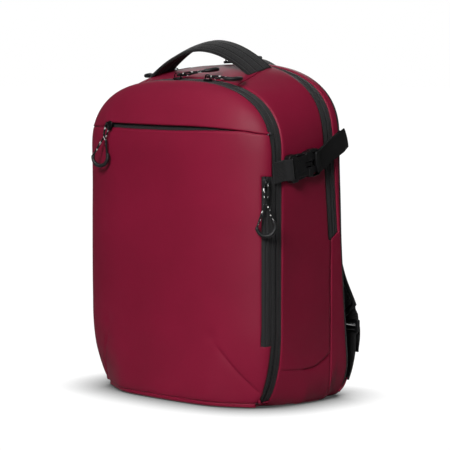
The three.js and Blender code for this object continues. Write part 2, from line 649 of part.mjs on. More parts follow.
// Beyond the buckle one layer of webbing lies on the side and the loose tail stands off above it.
const webbingStart = BUCKLE.length + BUCKLE.ladder + 2;
const fromBuckle = ([x, y, z]) => [webbingStart + x, y, z];
const sewnStrap = [[0, 0, 2], [12, 2.5, 1.8], [48, 16, 1.8]].map(fromBuckle);
const looseTail = [[0, 0, 5], [22, 8, 5.4], [46, 18, 10]].map(fromBuckle);
const patch = plate(-21, -1.5, WEBBING.width / 2, 0.2, 2.2, 1);
for (const [side, name] of SIDES) {
  add(`compression_patch_${name}`, sidePlace(patch, side), WEB);
  add(`buckle_female_${name}`, sidePlace(femaleBuckle(), side), PLASTIC);
  const clip = new THREE.Group();
  root.add(clip);
  add(`buckle_male_${name}`, sidePlace(maleBuckle(), side), PLASTIC, clip);
  const strip = (path) => ribbon(path, constant(Y_AXIS), constant(WEBBING.width), WEBBING.thick);
  add(`compression_webbing_${name}`, sidePlace(strip(sewnStrap), side), WEB, clip);
  add(`compression_tail_${name}`, sidePlace(strip(looseTail), side), WEB, clip);
}

// ---------- zip sliders and cord pulls ----------
// Slider frame: X along the zip towards the hanging pull, Z away from the bag. The pull turns about Y.
const SLIDER = { length: 11, width: 8.5, height: 2.6, corner: 3, eye: 4.8 };
const BAIL = { outer: 4.2, inner: 2.8, inside: 6.8, top: 8, width: 2.4 };
const PULL = { strand: 1.3, grip: 2.4, gripRadius: 10.5, gripAt: 40, leg: 4.5, twistFrom: 4, twistTo: 24 };
// Half width of the cord loop at distances from the slider's eye, between the eye and the grip.
const CORD = [[3.7, 2.6], [2.9, 6.5], [2.1, 13], [3.2, 21]];
const CORD_IN_EYE = { x: 0.25, half: 2.3 };

function tube(points, radius, sides, segments) {
  const path = new THREE.CatmullRomCurve3(points.map((p) => new THREE.Vector3(...p)));
  const circle = new THREE.Shape();
  circle.absarc(0, 0, radius, 0, 2 * Math.PI);
  const options = { steps: segments, bevelEnabled: false, extrudePath: path, curveSegments: sides };
  return new THREE.ExtrudeGeometry(circle, options);
}

function sliderBody() {
  const half = SLIDER.length / 2;
  const base = plate(-half, half, SLIDER.width / 2, 0, SLIDER.height, SLIDER.corner);
  const bail = new THREE.Shape();
  bail.moveTo(-BAIL.outer, 1);
  bail.lineTo(-BAIL.outer, BAIL.top);
  bail.lineTo(BAIL.outer, BAIL.top);
  bail.lineTo(BAIL.outer, 1);
  bail.lineTo(BAIL.inner, 1);
  bail.lineTo(BAIL.inner, BAIL.inside);
  bail.lineTo(-BAIL.inner, BAIL.inside);
  bail.lineTo(-BAIL.inner, 1);
  const loop = new THREE.ExtrudeGeometry(bail, { depth: BAIL.width, bevelEnabled: false });
  loop.rotateX(Math.PI / 2);
  loop.translate(0, BAIL.width / 2, 0);
  return joined(base, loop);
}

// Turns a point of a pull about its own length, gradually between the slider and the grip.
function twisted([x, y, z], twist) {
  const angle = twist * THREE.MathUtils.smoothstep(x, PULL.twistFrom, PULL.twistTo);
  const [c, s] = [Math.cos(angle), Math.sin(angle)];
  return [x, c * y - s * z, s * y + c * z];
}

// The cord loop runs from one end of the grip, through the slider's eye, and back to the other end.
function pullCord(twist, gripAt) {
  const strand = [...CORD, [PULL.gripRadius, gripAt - PULL.leg - 0.5]];
  const right = strand.map(([half, x]) => [x, half, 0]);
  const left = strand.map(([half, x]) => [x, -half, 0]).reverse();
  const eye = [-1, 1].map((sign) => [CORD_IN_EYE.x, sign * CORD_IN_EYE.half, 0]);
  const path = [...left, ...eye, ...right];
  return tube(path.map((point) => twisted(point, twist)), PULL.strand, 3, 20);
}

function pullGrip(twist, gripAt) {
  const arc = steps(-Math.PI / 2, Math.PI / 2, 8).map((angle) => {
    return [gripAt + PULL.gripRadius * Math.cos(angle), PULL.gripRadius * Math.sin(angle), 0];
  });
  const leg = (sign) => [gripAt - PULL.leg, sign * PULL.gripRadius, 0];
  const path = [leg(-1), ...arc, leg(1)];
  return tube(path.map((point) => twisted(point, twist)), PULL.grip, 4, 12);
}

// origin: the slider's foot on its tape. along: the pull's direction. out: away from the bag.
// lift: how far the pull stands off the surface, in degrees, to pass over a crowned panel.
// twist: how far the grip is turned about the pull's length, in degrees.
function zipSlider(name, parent, origin, along, out, { lift, twist = 0, gripAt = PULL.gripAt }) {
  const slider = new THREE.Group();
  const x = along.clone().normalize();
  const z = out.clone().addScaledVector(x, -out.dot(x)).normalize();
  const y = new THREE.Vector3().crossVectors(z, x);
  slider.applyMatrix4(new THREE.Matrix4().makeBasis(x, y, z));
  slider.position.copy(origin);
  parent.add(slider);
  add(`${name}_slider`, sliderBody(), METAL, slider);
  const pull = new THREE.Group();
  pull.position.set(0, 0, SLIDER.eye);
  pull.rotation.y = -THREE.MathUtils.degToRad(lift);
  slider.add(pull);
  const turn = THREE.MathUtils.degToRad(twist);
  add(`${name}_pull_cord`, pullCord(turn, gripAt), WEB, pull);
  add(`${name}_pull_grip`, pullGrip(turn, gripAt), PLASTIC, pull);
}

const vector = (x, y, z) => new THREE.Vector3(x, y, z);
const STAND_OFF = 0.5;

// The pocket slider rests at the left end of its zip; its cord hangs over the lower panel. It stands
// further off, since its run is a circular arc that the panel's curve touches nowhere.
const POCKET_SLIDER = { x: -90, standOff: 2 };
const pocketDepth = frontFace(POCKET_SLIDER.x, POCKET_ZIP.z) - POCKET_SLIDER.standOff;
const pocketFoot = vector(POCKET_SLIDER.x, pocketDepth, POCKET_ZIP.z);
zipSlider('pocket', flap, pocketFoot, vector(-0.2, 0, -1), vector(-0.1, -1, 0), { lift: 7, twist: -20 });

// The quick-access slider rests at the top of its zip, on the rounded edge of the front.
const QUICK_SLIDER = { x: 147.6, z: 265, gripAt: 50 };
const quickDepth = frontFace(QUICK_SLIDER.x, QUICK_SLIDER.z) - STAND_OFF;
const quickFoot = vector(QUICK_SLIDER.x + STAND_OFF, quickDepth, QUICK_SLIDER.z);
const quickPull = { lift: 2, gripAt: QUICK_SLIDER.gripAt };
zipSlider('quick', flap, quickFoot, vector(0, 0, -1), vector(0.7, -0.71, 0), quickPull);

// Two sliders stand near the top of each arch. yaw turns a slider about its upright, in degrees, so
// that one front pull lies behind the other front slider.
function archSlider(name, s, y, direction, { lift, yaw = 0 }) {
  const [x, , z] = surface(s, y);
  const [x2, , z2] = surface(s + 0.01, y);
  const tangent = vector(x2 - x, 0, z2 - z).normalize();
  const out = vector(-tangent.z, 0, tangent.x);
  const origin = vector(x, y, z).addScaledVector(out, STAND_OFF);
  const along = tangent.multiplyScalar(direction).applyAxisAngle(out, THREE.MathUtils.degToRad(yaw));
  zipSlider(name, root, origin, along, out, { lift });
}
const mainZipMiddle = MAIN_ZIP.front + MAIN_ZIP.width / 2;
archSlider('front_zip_left', -0.022, FRONT_ZIP.centre, 1, { lift: 8, yaw: 26 });
archSlider('front_zip_right', 0.112, FRONT_ZIP.centre, 1, { lift: 3 });
archSlider('main_zip_left', -0.42, mainZipMiddle, -1, { lift: 14 });
archSlider('main_zip_right', -0.03, mainZipMiddle, 1, { lift: 2 });

export default root;
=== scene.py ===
"""Looks for the clamshell travel backpack: fabric shells, zips, webbing, harness and studio set.

Shapes are worked out in millimetres in the CAD frame (X right, Y to the rear, Z up) from the
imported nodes' boxes, and turned into metres when a mesh is made.
"""
import json
import math

import bmesh
import bpy
import numpy as np
from mathutils import Matrix, Vector, noise


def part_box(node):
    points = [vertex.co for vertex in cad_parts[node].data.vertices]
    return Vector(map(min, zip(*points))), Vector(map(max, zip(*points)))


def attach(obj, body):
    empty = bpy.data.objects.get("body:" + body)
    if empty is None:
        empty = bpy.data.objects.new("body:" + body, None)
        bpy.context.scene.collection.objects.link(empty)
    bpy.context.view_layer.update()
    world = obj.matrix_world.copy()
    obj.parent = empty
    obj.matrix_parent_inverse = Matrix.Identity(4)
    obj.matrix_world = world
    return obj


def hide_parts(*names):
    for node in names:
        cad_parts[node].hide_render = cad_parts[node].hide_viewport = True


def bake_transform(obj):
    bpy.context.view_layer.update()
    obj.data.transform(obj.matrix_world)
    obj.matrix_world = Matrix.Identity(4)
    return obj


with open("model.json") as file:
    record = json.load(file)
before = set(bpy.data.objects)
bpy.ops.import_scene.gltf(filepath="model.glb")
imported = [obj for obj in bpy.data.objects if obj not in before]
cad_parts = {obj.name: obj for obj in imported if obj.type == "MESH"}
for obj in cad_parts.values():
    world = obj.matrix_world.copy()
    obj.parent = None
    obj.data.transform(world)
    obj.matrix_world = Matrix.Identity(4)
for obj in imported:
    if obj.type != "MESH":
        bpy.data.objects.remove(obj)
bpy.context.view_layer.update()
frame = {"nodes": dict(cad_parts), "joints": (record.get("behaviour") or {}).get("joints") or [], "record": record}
MM = 0.001
JOINTS = {joint["name"]: joint for joint in frame["joints"]}


def box_mm(node):
    """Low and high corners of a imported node's box, in mm."""
    low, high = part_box(node)
    return np.array(low) / MM, np.array(high) / MM


# ---------------------------------------------------------------- driving sizes, from the frame
WALL_HIGH = box_mm("side_panel_right")[1]
UPPER_LOW, UPPER_HIGH = box_mm("front_upper_panel")
LOWER_HIGH = box_mm("front_lower_panel")[1]
REAR_HIGH = box_mm("rear_wall")[1]
FLAP_ZIP_LOW, FLAP_ZIP_HIGH = box_mm("front_zip_flap_side")
BODY_ZIP_LOW, BODY_ZIP_HIGH = box_mm("front_zip_body_side")
MAIN_ZIP_LOW = box_mm("main_zip")[0]
QUICK_LOW, QUICK_HIGH = box_mm("quick_pocket_zip")
POCKET_LOW, POCKET_HIGH = box_mm("pocket_zip")
TOP_SEAM_X = box_mm("top_panel")[1][0]

HALF_WIDTH = WALL_HIGH[0]
ARCH_RISE = 90.0
ARCH_POWER = 2.6
FRONT_SPRING = UPPER_HIGH[2] - ARCH_RISE
REAR_SPRING = REAR_HIGH[2] - ARCH_RISE
ZIP_FRONT = FLAP_ZIP_LOW[1] - 0.3
ZIP_CENTRE = (FLAP_ZIP_HIGH[1] + BODY_ZIP_LOW[1]) / 2
ZIP_REAR = BODY_ZIP_HIGH[1] + 0.3
MAIN_FRONT = MAIN_ZIP_LOW[1] - 0.3
MAIN_WIDTH = 16.0
MAIN_END = MAIN_ZIP_LOW[2] - 4
MAIN_SLOPE = 0.075
MAIN_LEVEL = 328.0
REAR_SEAM = WALL_HIGH[1] + 0.3
SLIT_LAP = 3.1      # each panel's edge stands this far back from the seam beside the pocket zip
SLIT_TOP = UPPER_LOW[2] + SLIT_LAP
SLIT_BOTTOM = LOWER_HIGH[2] - SLIT_LAP
SLIT_LEFT_Z = 321.8
SLIT_CLIMB = 2.4
SLIT_HEIGHT = 5.4
SEAM_END = 320.5    # where the two panels meet beyond the slit, at both sides
FLAP_DEPTH = 33.0
FLAP_CROWN = 3.0
REAR_TOP_DEPTH = 54.0
REAR_LEAN = 18.0
REAR_PLANE = 60.0
# depth, and the width and height of the lower corner there
CORNER_STATIONS = np.array([[-62, 37, 100], [-47, 34, 92], [0, 13, 32], [41, 14, 34], [54, 24, 54]], float)
WALL_THICK = 3.4
ROW_STEP = 3.0      # spacing of a wall's points from front to rear
EDGE_MARKS = (0.4, 1.0, 1.9, 3.0)   # closer points near both edges
AXIS_HEIGHT = 200.0
ARCH_ZIP_END = 2.84
SIDES = ((1, "right"), (-1, "left"))


# ---------------------------------------------------------------- the body's outline
def corner_at(y):
    """Width and height of the rounded lower corner at a depth."""
    y = np.asarray(y, float)
    width = np.interp(y, CORNER_STATIONS[:, 0], CORNER_STATIONS[:, 1])
    height = np.interp(y, CORNER_STATIONS[:, 0], CORNER_STATIONS[:, 2])
    return width, height


def spring_at(y):
    """Height at which the sides turn into the arch."""
    t = np.clip((np.asarray(y, float) - ZIP_CENTRE) / (MAIN_FRONT - ZIP_CENTRE), 0, 1)
    return FRONT_SPRING + (REAR_SPRING - FRONT_SPRING) * t


def smooth(edge0, edge1, value):
    """An S-curve from 0 at edge0 to 1 at edge1."""
    t = np.clip((np.asarray(value, float) - edge0) / (edge1 - edge0), 0, 1)
    return t * t * (3 - 2 * t)


def tension(x, y):
    """The handle's feet draw the top fabric up a little, and it settles between them."""
    right = 2.5 * np.exp(-(((x - 69) / 30) ** 2) - ((y - 6) / 24) ** 2)
    left = 3.0 * np.exp(-(((x + 85) / 30) ** 2) - ((y + 8) / 24) ** 2)
    sag = 1.6 * np.exp(-(((x + 35) / 50) ** 4)) * smooth(-40, 10, y)
    return (right + left - sag) * smooth(-47, -34, y)


def surface(s, y, inset=0.0):
    """Points of the wall. |s| 0..1 is the arch, 1..2 the side, 2..3 the corner, 3..4 the base."""
    s, y, inset = np.broadcast_arrays(np.asarray(s, float), np.asarray(y, float), np.asarray(inset, float))
    q = np.abs(s)
    width, height = corner_at(y)
    spring = spring_at(y)
    arch = (1 - np.clip(q, 0, 1)) * np.pi / 2
    power = 2 / ARCH_POWER
    x1 = (HALF_WIDTH - inset) * np.abs(np.cos(arch)) ** power
    z1 = spring + (ARCH_RISE - inset) * np.abs(np.sin(arch)) ** power
    z1 = z1 + tension(np.where(s < 0, -x1, x1), y)
    x2 = HALF_WIDTH - inset
    z2 = spring + (height - spring) * (q - 1)
    turn = np.clip(q - 2, 0, 1) * np.pi / 2
    x3 = HALF_WIDTH - width + (width - inset) * np.cos(turn)
    z3 = height - (height - inset) * np.sin(turn)
    x4 = (HALF_WIDTH - width) * (4 - q)
    x = np.select([q <= 1, q <= 2, q <= 3], [x1, x2, x3], x4)
    z = np.select([q <= 1, q <= 2, q <= 3], [z1, z2, z3], inset)
    return np.stack([np.where(s < 0, -x, x), y, z], -1)


def s_at_height(z, y):
    """The place s round the wall at height z."""
    height = corner_at(y)[1]
    spring = spring_at(y)
    z = np.asarray(z, float)
    arch = 1 - 2 / np.pi * np.arcsin(np.clip((z - spring) / ARCH_RISE, 0, 1) ** (ARCH_POWER / 2))
    side = 1 + (spring - z) / (spring - height)
    low = 2 + 2 / np.pi * np.arcsin(np.clip((height - z) / height, 0, 1))
    return np.select([z > spring, z > height], [arch, side], low)


def height_at(s):
    """Height of the wall at s, beside the main zip."""
    return surface(s, MAIN_FRONT)[..., 2]


def main_zip_front(z):
    """The main zip leans to the rear below MAIN_LEVEL."""
    return MAIN_FRONT + np.maximum(0, MAIN_LEVEL - z) * MAIN_SLOPE


def rear_edge(z):
    """Depth of the rear wall's edge: it leans out towards the base."""
    drop = np.clip((321 - np.asarray(z, float)) / 285, 0, 1)
    return REAR_TOP_DEPTH + REAR_LEAN * drop ** 1.6


def boot_seam(y):
    """Height of the base's upper seam, which climbs towards the rear."""
    return 42 + 16 * np.clip((np.asarray(y, float) - 5) / 37, 0, 1) ** 1.5


# ---------------------------------------------------------------- the front's swell
def half_width_at(z):
    """Half the front's width at height z."""
    width, height = corner_at(ZIP_FRONT)
    z = np.asarray(z, float)
    rise = np.clip((z - FRONT_SPRING) / ARCH_RISE, 0, 1)
    arch = HALF_WIDTH * (1 - rise ** ARCH_POWER) ** (1 / ARCH_POWER)
    drop = np.clip(height - z, 0, height) / height
    low = HALF_WIDTH - width + width * np.sqrt(np.clip(1 - drop ** 2, 0, 1))
    return np.where(z > FRONT_SPRING, arch, low)


def slit_bottom(x):
    """Height of the lower panel's top edge: it climbs to the slit's right end and drops at both sides."""
    x = np.asarray(x, float)
    left = (SLIT_LEFT_Z - SEAM_END) * smooth(-108, -135, x)
    right = (SLIT_LEFT_Z + SLIT_CLIMB - SEAM_END) * smooth(116, 149, x)
    return SLIT_LEFT_Z + SLIT_CLIMB * smooth(0, 104, x) - (left + right)


def slit_open(x):
    """Height of the pocket slit, closed beyond both ends of its zip."""
    x = np.asarray(x, float)
    return SLIT_HEIGHT * (1 - np.clip(x / 118, 0, 1) ** 2) * smooth(-107, -98, x)


DART_RIGHT = ((84.5, 79.0), (139.0, 12.0))
DART_LEFT = ((-92.0, 84.0), (-126.0, 10.0))


def segment_distance(x, z, start, end):
    """Distance from a segment, distance along it, and which side of it, for each point."""
    dx, dz = end[0] - start[0], end[1] - start[1]
    length = math.hypot(dx, dz)
    along = ((x - start[0]) * dx + (z - start[1]) * dz) / length
    t = np.clip(along / length, 0, 1)
    off = np.hypot(x - start[0] - t * dx, z - start[1] - t * dz)
    side = ((x - start[0]) * dz - (z - start[1]) * dx) / length
    return off, along, side


def bulge(x, z):
    """How far the front stands forward of the zip plane."""
    x, z = np.broadcast_arrays(np.asarray(x, float), np.asarray(z, float))
    rise = np.clip((z - FRONT_SPRING) / ARCH_RISE, 0, 1)
    top = (np.abs(x / HALF_WIDTH) ** ARCH_POWER + rise ** ARCH_POWER) ** (1 / ARCH_POWER)
    reach = np.where(z > FRONT_SPRING, top, np.abs(x) / np.maximum(half_width_at(z), 1))
    reach = np.clip(reach, 0, 1)
    body = FLAP_DEPTH * (1 - reach ** 3) ** (1 / 1.8) + FLAP_CROWN * (1 - reach ** 2)
    taper = 1 - 0.24 * smooth(70, 135, np.abs(x)) * smooth(95, 10, z)
    taper = taper - 0.36 * smooth(60, 140, np.abs(x) - 20 * (x > 0)) * smooth(56, 4, z)
    floor = 1 - 0.10 * np.clip(1 - z / 16, 0, 1) ** 2
    return body * taper * floor


def dart_relief(x, z):
    """Creases of the two bottom darts, each with a soft dent at its tip."""
    total = np.zeros(np.broadcast(x, z).shape)
    for (tip, foot), depth in ((DART_RIGHT, 2.3), (DART_LEFT, 1.9)):
        off, along, side = segment_distance(x, z, tip, foot)
        grow = smooth(-1, 26, along)
        inner = side * (1 if tip[0] > 0 else -1) < 0
        total -= depth * np.exp(-off / np.where(inner, 1.7, 5.5)) * grow
        total -= 0.9 * np.exp(-((x - tip[0] + 3) ** 2 + (z - tip[1] - 5) ** 2) / 60)
    return total


def wobble(points, scale, amount, seed=0.0):
    """Gentle deterministic unevenness, one value a point."""
    flat = points.reshape(-1, 3) / scale
    shift = Vector((seed, seed * 1.7, -seed))
    values = [noise.noise(Vector(p) + shift) for p in flat.tolist()]
    return amount * np.array(values).reshape(points.shape[:-1])


def front_depth(x, z, relief=True):
    """Depth of the front's outer face, with or without the darts' creases."""
    out = bulge(x, z)
    if relief:
        out = out + dart_relief(x, z)
    return ZIP_FRONT - out


# ---------------------------------------------------------------- mesh making
def linked(name, data):
    """A new object in the scene."""
    made = bpy.data.objects.new(name, data)
    bpy.context.scene.collection.objects.link(made)
    return made


def rolled(t):
    """A quarter round: 0 at t = 0, rising to 1 at t = 1."""
    return 1 - np.sqrt(np.clip(1 - t * t, 0, 1))


def facing(*direction):
    """The same outward direction at every point, for thicken."""
    return lambda point: Vector(direction)


def spread(start, end):
    """Positions from start to end, packed close together near both ends."""
    length = abs(end - start)
    edge = [e * min(1.0, length / (2.6 * EDGE_MARKS[-1])) for e in EDGE_MARKS]
    count = int(round((length - 2 * edge[-1]) / ROW_STEP)) + 1
    inner = np.linspace(edge[-1], length - edge[-1], max(2, count))
    marks = np.concatenate([[0], edge[:-1], inner, [length - e for e in reversed(edge[:-1])], [length]])
    return start + np.sign(end - start) * marks


def mesh_object(name, points, faces, uvs=None, materials=()):
    """points in mm, faces as index tuples, uvs in metres, one per point."""
    mesh = bpy.data.meshes.new(name)
    mesh.from_pydata((np.asarray(points, float) * MM).tolist(), [], faces)
    if uvs is not None:
        layer = mesh.uv_layers.new(name="UVMap")
        loops = np.zeros(len(mesh.loops), np.int32)
        mesh.loops.foreach_get("vertex_index", loops)
        layer.data.foreach_set("uv", np.asarray(uvs, float)[loops].ravel())
    for material in materials:
        mesh.materials.append(material)
    mesh.validate()
    mesh.polygons.foreach_set("use_smooth", [True] * len(mesh.polygons))
    return linked(name, mesh)


def grid_object(name, grid, materials, skip=None, closed=False):
    """An open sheet from grid[row][column]. skip(row, column) leaves a face out."""
    rows, columns = grid.shape[:2]
    faces = []
    for r in range(rows - 1):
        for c in range(columns - 1 + int(closed)):
            if skip and skip(r, c):
                continue
            n = (c + 1) % columns
            faces.append((r * columns + c, r * columns + n, (r + 1) * columns + n, (r + 1) * columns + c))
    along = np.concatenate([[0], np.cumsum(np.linalg.norm(np.diff(grid, axis=0), axis=-1).mean(1))])
    across = np.concatenate([[0], np.cumsum(np.linalg.norm(np.diff(grid, axis=1), axis=-1).mean(0))])
    uvs = np.stack(np.meshgrid(along, across, indexing="ij"), -1).reshape(-1, 2) * MM
    piece = mesh_object(name, grid.reshape(-1, 3), faces, uvs, materials)
    if skip:
        drop_loose(piece)
    return piece


def shade_smooth(piece):
    """Smooth shading on every face."""
    piece.data.polygons.foreach_set("use_smooth", [True] * len(piece.data.polygons))


def vertex_places(piece):
    """The piece's points, in metres."""
    places = np.zeros(len(piece.data.vertices) * 3)
    piece.data.vertices.foreach_get("co", places)
    return places.reshape(-1, 3)


def drop_loose(piece):
    """Removes points that no face uses."""
    work = bmesh.new()
    work.from_mesh(piece.data)
    loose = [v for v in work.verts if not v.link_faces]
    bmesh.ops.delete(work, geom=loose, context="VERTS")
    work.to_mesh(piece.data)
    work.free()


def apply_all(piece):
    """Bakes the piece's modifiers into its mesh."""
    graph = bpy.context.evaluated_depsgraph_get()
    baked = bpy.data.meshes.new_from_object(piece.evaluated_get(graph), depsgraph=graph)
    piece.modifiers.clear()
    old = piece.data
    piece.data = baked
    bpy.data.meshes.remove(old)
    return piece


def thicken(piece, thickness, outward, inner_slot=0):
    """Makes a sheet solid, growing to the side away from `outward`, a point's outward direction."""
    mesh = piece.data
    mesh.update()
    total = 0.0
    for polygon in mesh.polygons:
        total += polygon.normal.dot(outward(polygon.center / MM)) * polygon.area
    if total < 0:
        mesh.flip_normals()
    solid = piece.modifiers.new("solid", "SOLIDIFY")
    solid.thickness = thickness * MM
    solid.offset = -1
    solid.material_offset = inner_slot
    solid.material_offset_rim = 0
    return apply_all(piece)


def from_axis(point):
    """Outward direction of the body's walls: away from the line through the bag's middle."""
    return Vector((point[0] / 150, 0, (point[2] - AXIS_HEIGHT) / 200))


FORWARD, REARWARD = facing(0, -1, 0), facing(0, 1, 0)


def edge_roll(grid, depth=1.5, width=2.6, ends=(True, True), sides=(True, True)):
    """How far each point of a grid turns in near the sheet's edges."""
    steps_r = np.linalg.norm(np.diff(grid, axis=0), axis=-1)
    steps_c = np.linalg.norm(np.diff(grid, axis=1), axis=-1)
    lengths_r = np.concatenate([np.zeros((1, grid.shape[1])), np.cumsum(steps_r, 0)])
    lengths_c = np.concatenate([np.zeros((grid.shape[0], 1)), np.cumsum(steps_c, 1)], 1)
    far = np.full(grid.shape[:2], 1e3)
    if ends[0]:
        far = np.minimum(far, lengths_r)
    if ends[1]:
        far = np.minimum(far, lengths_r[-1:] - lengths_r)
    if sides[0]:
        far = np.minimum(far, lengths_c)
    if sides[1]:
        far = np.minimum(far, lengths_c[:, -1:] - lengths_c)
    return depth * rolled(np.clip(1 - far / width, 0, 1))


# ---------------------------------------------------------------- materials
class Nodes:
    """A small helper to wire a principled material."""

    def __init__(self, name):
        self.material = bpy.data.materials.new(name)
        self.material.use_nodes = True
        self.tree = self.material.node_tree
        self.bsdf = self.tree.nodes["Principled BSDF"]
        self.coord = self.tree.nodes.new("ShaderNodeTexCoord")

    def node(self, kind, **values):
        """Adds a node. Each value is one of its attributes or the default of an input."""
        made = self.tree.nodes.new(kind)
        for key, value in values.items():
            if hasattr(made, key):
                setattr(made, key, value)
            else:
                made.inputs[key.replace("_", " ")].default_value = value
        return made

    def link(self, source, target):
        """Wires an output to an input."""
        self.tree.links.new(source, target)

    def noise(self, scale, detail):
        """Cloudy noise over the object's own coordinates."""
        made = self.node("ShaderNodeTexNoise", Scale=scale, Detail=detail)
        self.link(self.coord.outputs["Object"], made.inputs["Vector"])
        return made.outputs["Fac"]

    def cells(self, scale):
        """Distance to the nearest of scattered points."""
        made = self.node("ShaderNodeTexVoronoi", Scale=scale)
        self.link(self.coord.outputs["Object"], made.inputs["Vector"])
        return made.outputs["Distance"]

    def wave(self, scale, direction, distortion):
        """Bands across one direction of the UVs."""
        made = self.node("ShaderNodeTexWave", Scale=scale, Distortion=distortion)
        made.bands_direction = direction
        self.link(self.coord.outputs["UV"], made.inputs["Vector"])
        return made.outputs["Fac"]

    def math(self, operation, *values):
        """A sum over numbers and outputs."""
        made = self.node("ShaderNodeMath", operation=operation)
        for slot, value in enumerate(values):
            if isinstance(value, (int, float)):
                made.inputs[slot].default_value = value
            else:
                self.link(value, made.inputs[slot])
        return made.outputs[0]

    def ramp(self, source, stops):
        """Colours for a value's range, from (place, colour) stops."""
        made = self.node("ShaderNodeValToRGB")
        elements = made.color_ramp.elements
        while len(elements) < len(stops):
            elements.new(0.5)
        for element, (place, colour) in zip(elements, stops):
            element.position = place
            element.color = (*colour, 1)
        self.link(source, made.inputs["Fac"])
        return made.outputs["Color"]

    def mix(self, factor, a, b, blend="MIX"):
        """Two colours mixed by a factor."""
        made = self.node("ShaderNodeMix", data_type="RGBA", blend_type=blend)
        for slot, value in ((0, factor), (6, a), (7, b)):
            if isinstance(value, (int, float)):
                made.inputs[slot].default_value = value
            elif isinstance(value, tuple):
                made.inputs[slot].default_value = (*value, 1)
            else:
                self.link(value, made.inputs[slot])
        return made.outputs[2]

    def bump(self, height, strength, distance, below=None):
        """A height as relief, on top of the relief below it."""
        made = self.node("ShaderNodeBump", Strength=strength, Distance=distance)
        self.link(height, made.inputs["Height"])
        if below is not None:
            self.link(below, made.inputs["Normal"])
        return made.outputs["Normal"]

    def finish(self, colour, roughness, normal=None, **extra):
        """Sets the principled shader's inputs and returns the material."""
        for name, value in (("Base Color", colour), ("Roughness", roughness)):
            if isinstance(value, tuple):
                self.bsdf.inputs[name].default_value = (*value, 1)
            elif isinstance(value, (int, float)):
                self.bsdf.inputs[name].default_value = value
            else:
                self.link(value, self.bsdf.inputs[name])
        if normal is not None:
            self.link(normal, self.bsdf.inputs["Normal"])
        for name, value in extra.items():
            self.bsdf.inputs[name.replace("_", " ")].default_value = value
        return self.material


def srgb(hex_colour):
    """Linear colour of a #rrggbb value."""
    parts = [int(hex_colour[i:i + 2], 16) / 255 for i in (1, 3, 5)]
    return tuple(p / 12.92 if p <= 0.04045 else ((p + 0.055) / 1.055) ** 2.4 for p in parts)


def coated_fabric():
    """Matte polyurethane-coated cloth: soft grain, faint cloudiness, a low sheen."""
    n = Nodes("bag_fabric")
    cloud = n.ramp(n.noise(9, 3), [(0.3, srgb("#79092b")), (0.7, srgb("#840d31"))])
    speck = n.ramp(n.noise(1500, 2), [(0.35, (0.9, 0.9, 0.9)), (0.65, (1.0, 1.0, 1.0))])
    colour = n.mix(1.0, cloud, speck, "MULTIPLY")
    rough = n.math("MULTIPLY_ADD", n.noise(60, 2), 0.12, 0.50)
    grain = n.bump(n.noise(2200, 3), 0.16, 0.0002)
    grain = n.bump(n.cells(900), 0.10, 0.0003, grain)
    soft = n.bump(n.noise(22, 2), 0.25, 0.0016, grain)
    return n.finish(colour, rough, soft, Specular_IOR_Level=0.26, Sheen_Weight=0.0)


def woven(name, dark, light, warp, weft, depth=0.0002, rough=0.8, sheen=0.15):
    """A woven tape, with ribs across and threads along its UV directions (metres)."""
    n = Nodes(name)
    along = n.wave(warp, "X", 0.6)
    across = n.wave(weft, "Y", 0.4)
    weave = n.math("MULTIPLY", along, across)
    fibre = n.noise(1800, 3)
    mixed = n.math("ADD", n.math("MULTIPLY", weave, 0.7), n.math("MULTIPLY", fibre, 0.5))
    colour = n.ramp(mixed, [(0.2, srgb(dark)), (0.8, srgb(light))])
    normal = n.bump(weave, 0.7, depth)
    normal = n.bump(fibre, 0.3, 0.0001, normal)
    return n.finish(colour, rough, normal, Specular_IOR_Level=0.3, Sheen_Weight=sheen)


def spacer_mesh():
    """Knitted air mesh: a lattice of small holes over a dark ground."""
    n = Nodes("air_mesh")
    holes = n.cells(420)
    colour = n.ramp(holes, [(0.15, srgb("#0b0b0c")), (0.45, srgb("#2a292b"))])
    lift = n.bump(holes, 0.8, 0.0007)
    lift = n.bump(n.noise(1500, 2), 0.2, 0.0001, lift)
    return n.finish(colour, 0.9, lift, Specular_IOR_Level=0.25, Sheen_Weight=0.2)


def plastic(name, colour, rough, grain=1200, bump=0.12):
    """Moulded plastic or rubber with a fine spark-eroded texture and worn-looking variation."""
    n = Nodes(name)
    tint = n.ramp(n.noise(40, 3), [(0.3, srgb(colour)), (0.75, tuple(c * 1.5 for c in srgb(colour)))])
    roughness = n.math("MULTIPLY_ADD", n.noise(120, 3), 0.18, rough - 0.09)
    normal = n.bump(n.noise(grain, 2), bump, 0.0001)
    return n.finish(tint, roughness, normal, Specular_IOR_Level=0.45)


def painted_metal():
    """Black paint with worn specks."""
    n = Nodes("slider_metal")
    chips = n.ramp(n.noise(300, 4), [(0.62, srgb("#141416")), (0.8, srgb("#3a3a3d"))])
    normal = n.bump(n.noise(700, 2), 0.1, 0.0001)
    return n.finish(chips, 0.36, normal, Metallic=0.55)


def braided_cord():
    """Black braid with a white fleck in the weave. U runs along the cord, V round it."""
    n = Nodes("cord")
    lean = n.node("ShaderNodeMapping")
    lean.inputs["Rotation"].default_value = (0, 0, 0.7)
    n.link(n.coord.outputs["UV"], lean.inputs["Vector"])
    braid = n.node("ShaderNodeTexWave", Scale=300.0, Distortion=0.0)
    n.link(lean.outputs["Vector"], braid.inputs["Vector"])
    flecks = n.node("ShaderNodeTexVoronoi", Scale=330.0)
    n.link(n.coord.outputs["UV"], flecks.inputs["Vector"])
    pick = n.node("ShaderNodeSeparateColor")
    n.link(flecks.outputs["Color"], pick.inputs["Color"])
    white = n.math("GREATER_THAN", pick.outputs[0], 0.77)
    colour = n.mix(white, srgb("#101011"), srgb("#d8d8d6"))
    normal = n.bump(braid.outputs["Fac"], 0.6, 0.0003)
    return n.finish(colour, 0.75, normal, Specular_IOR_Level=0.3)


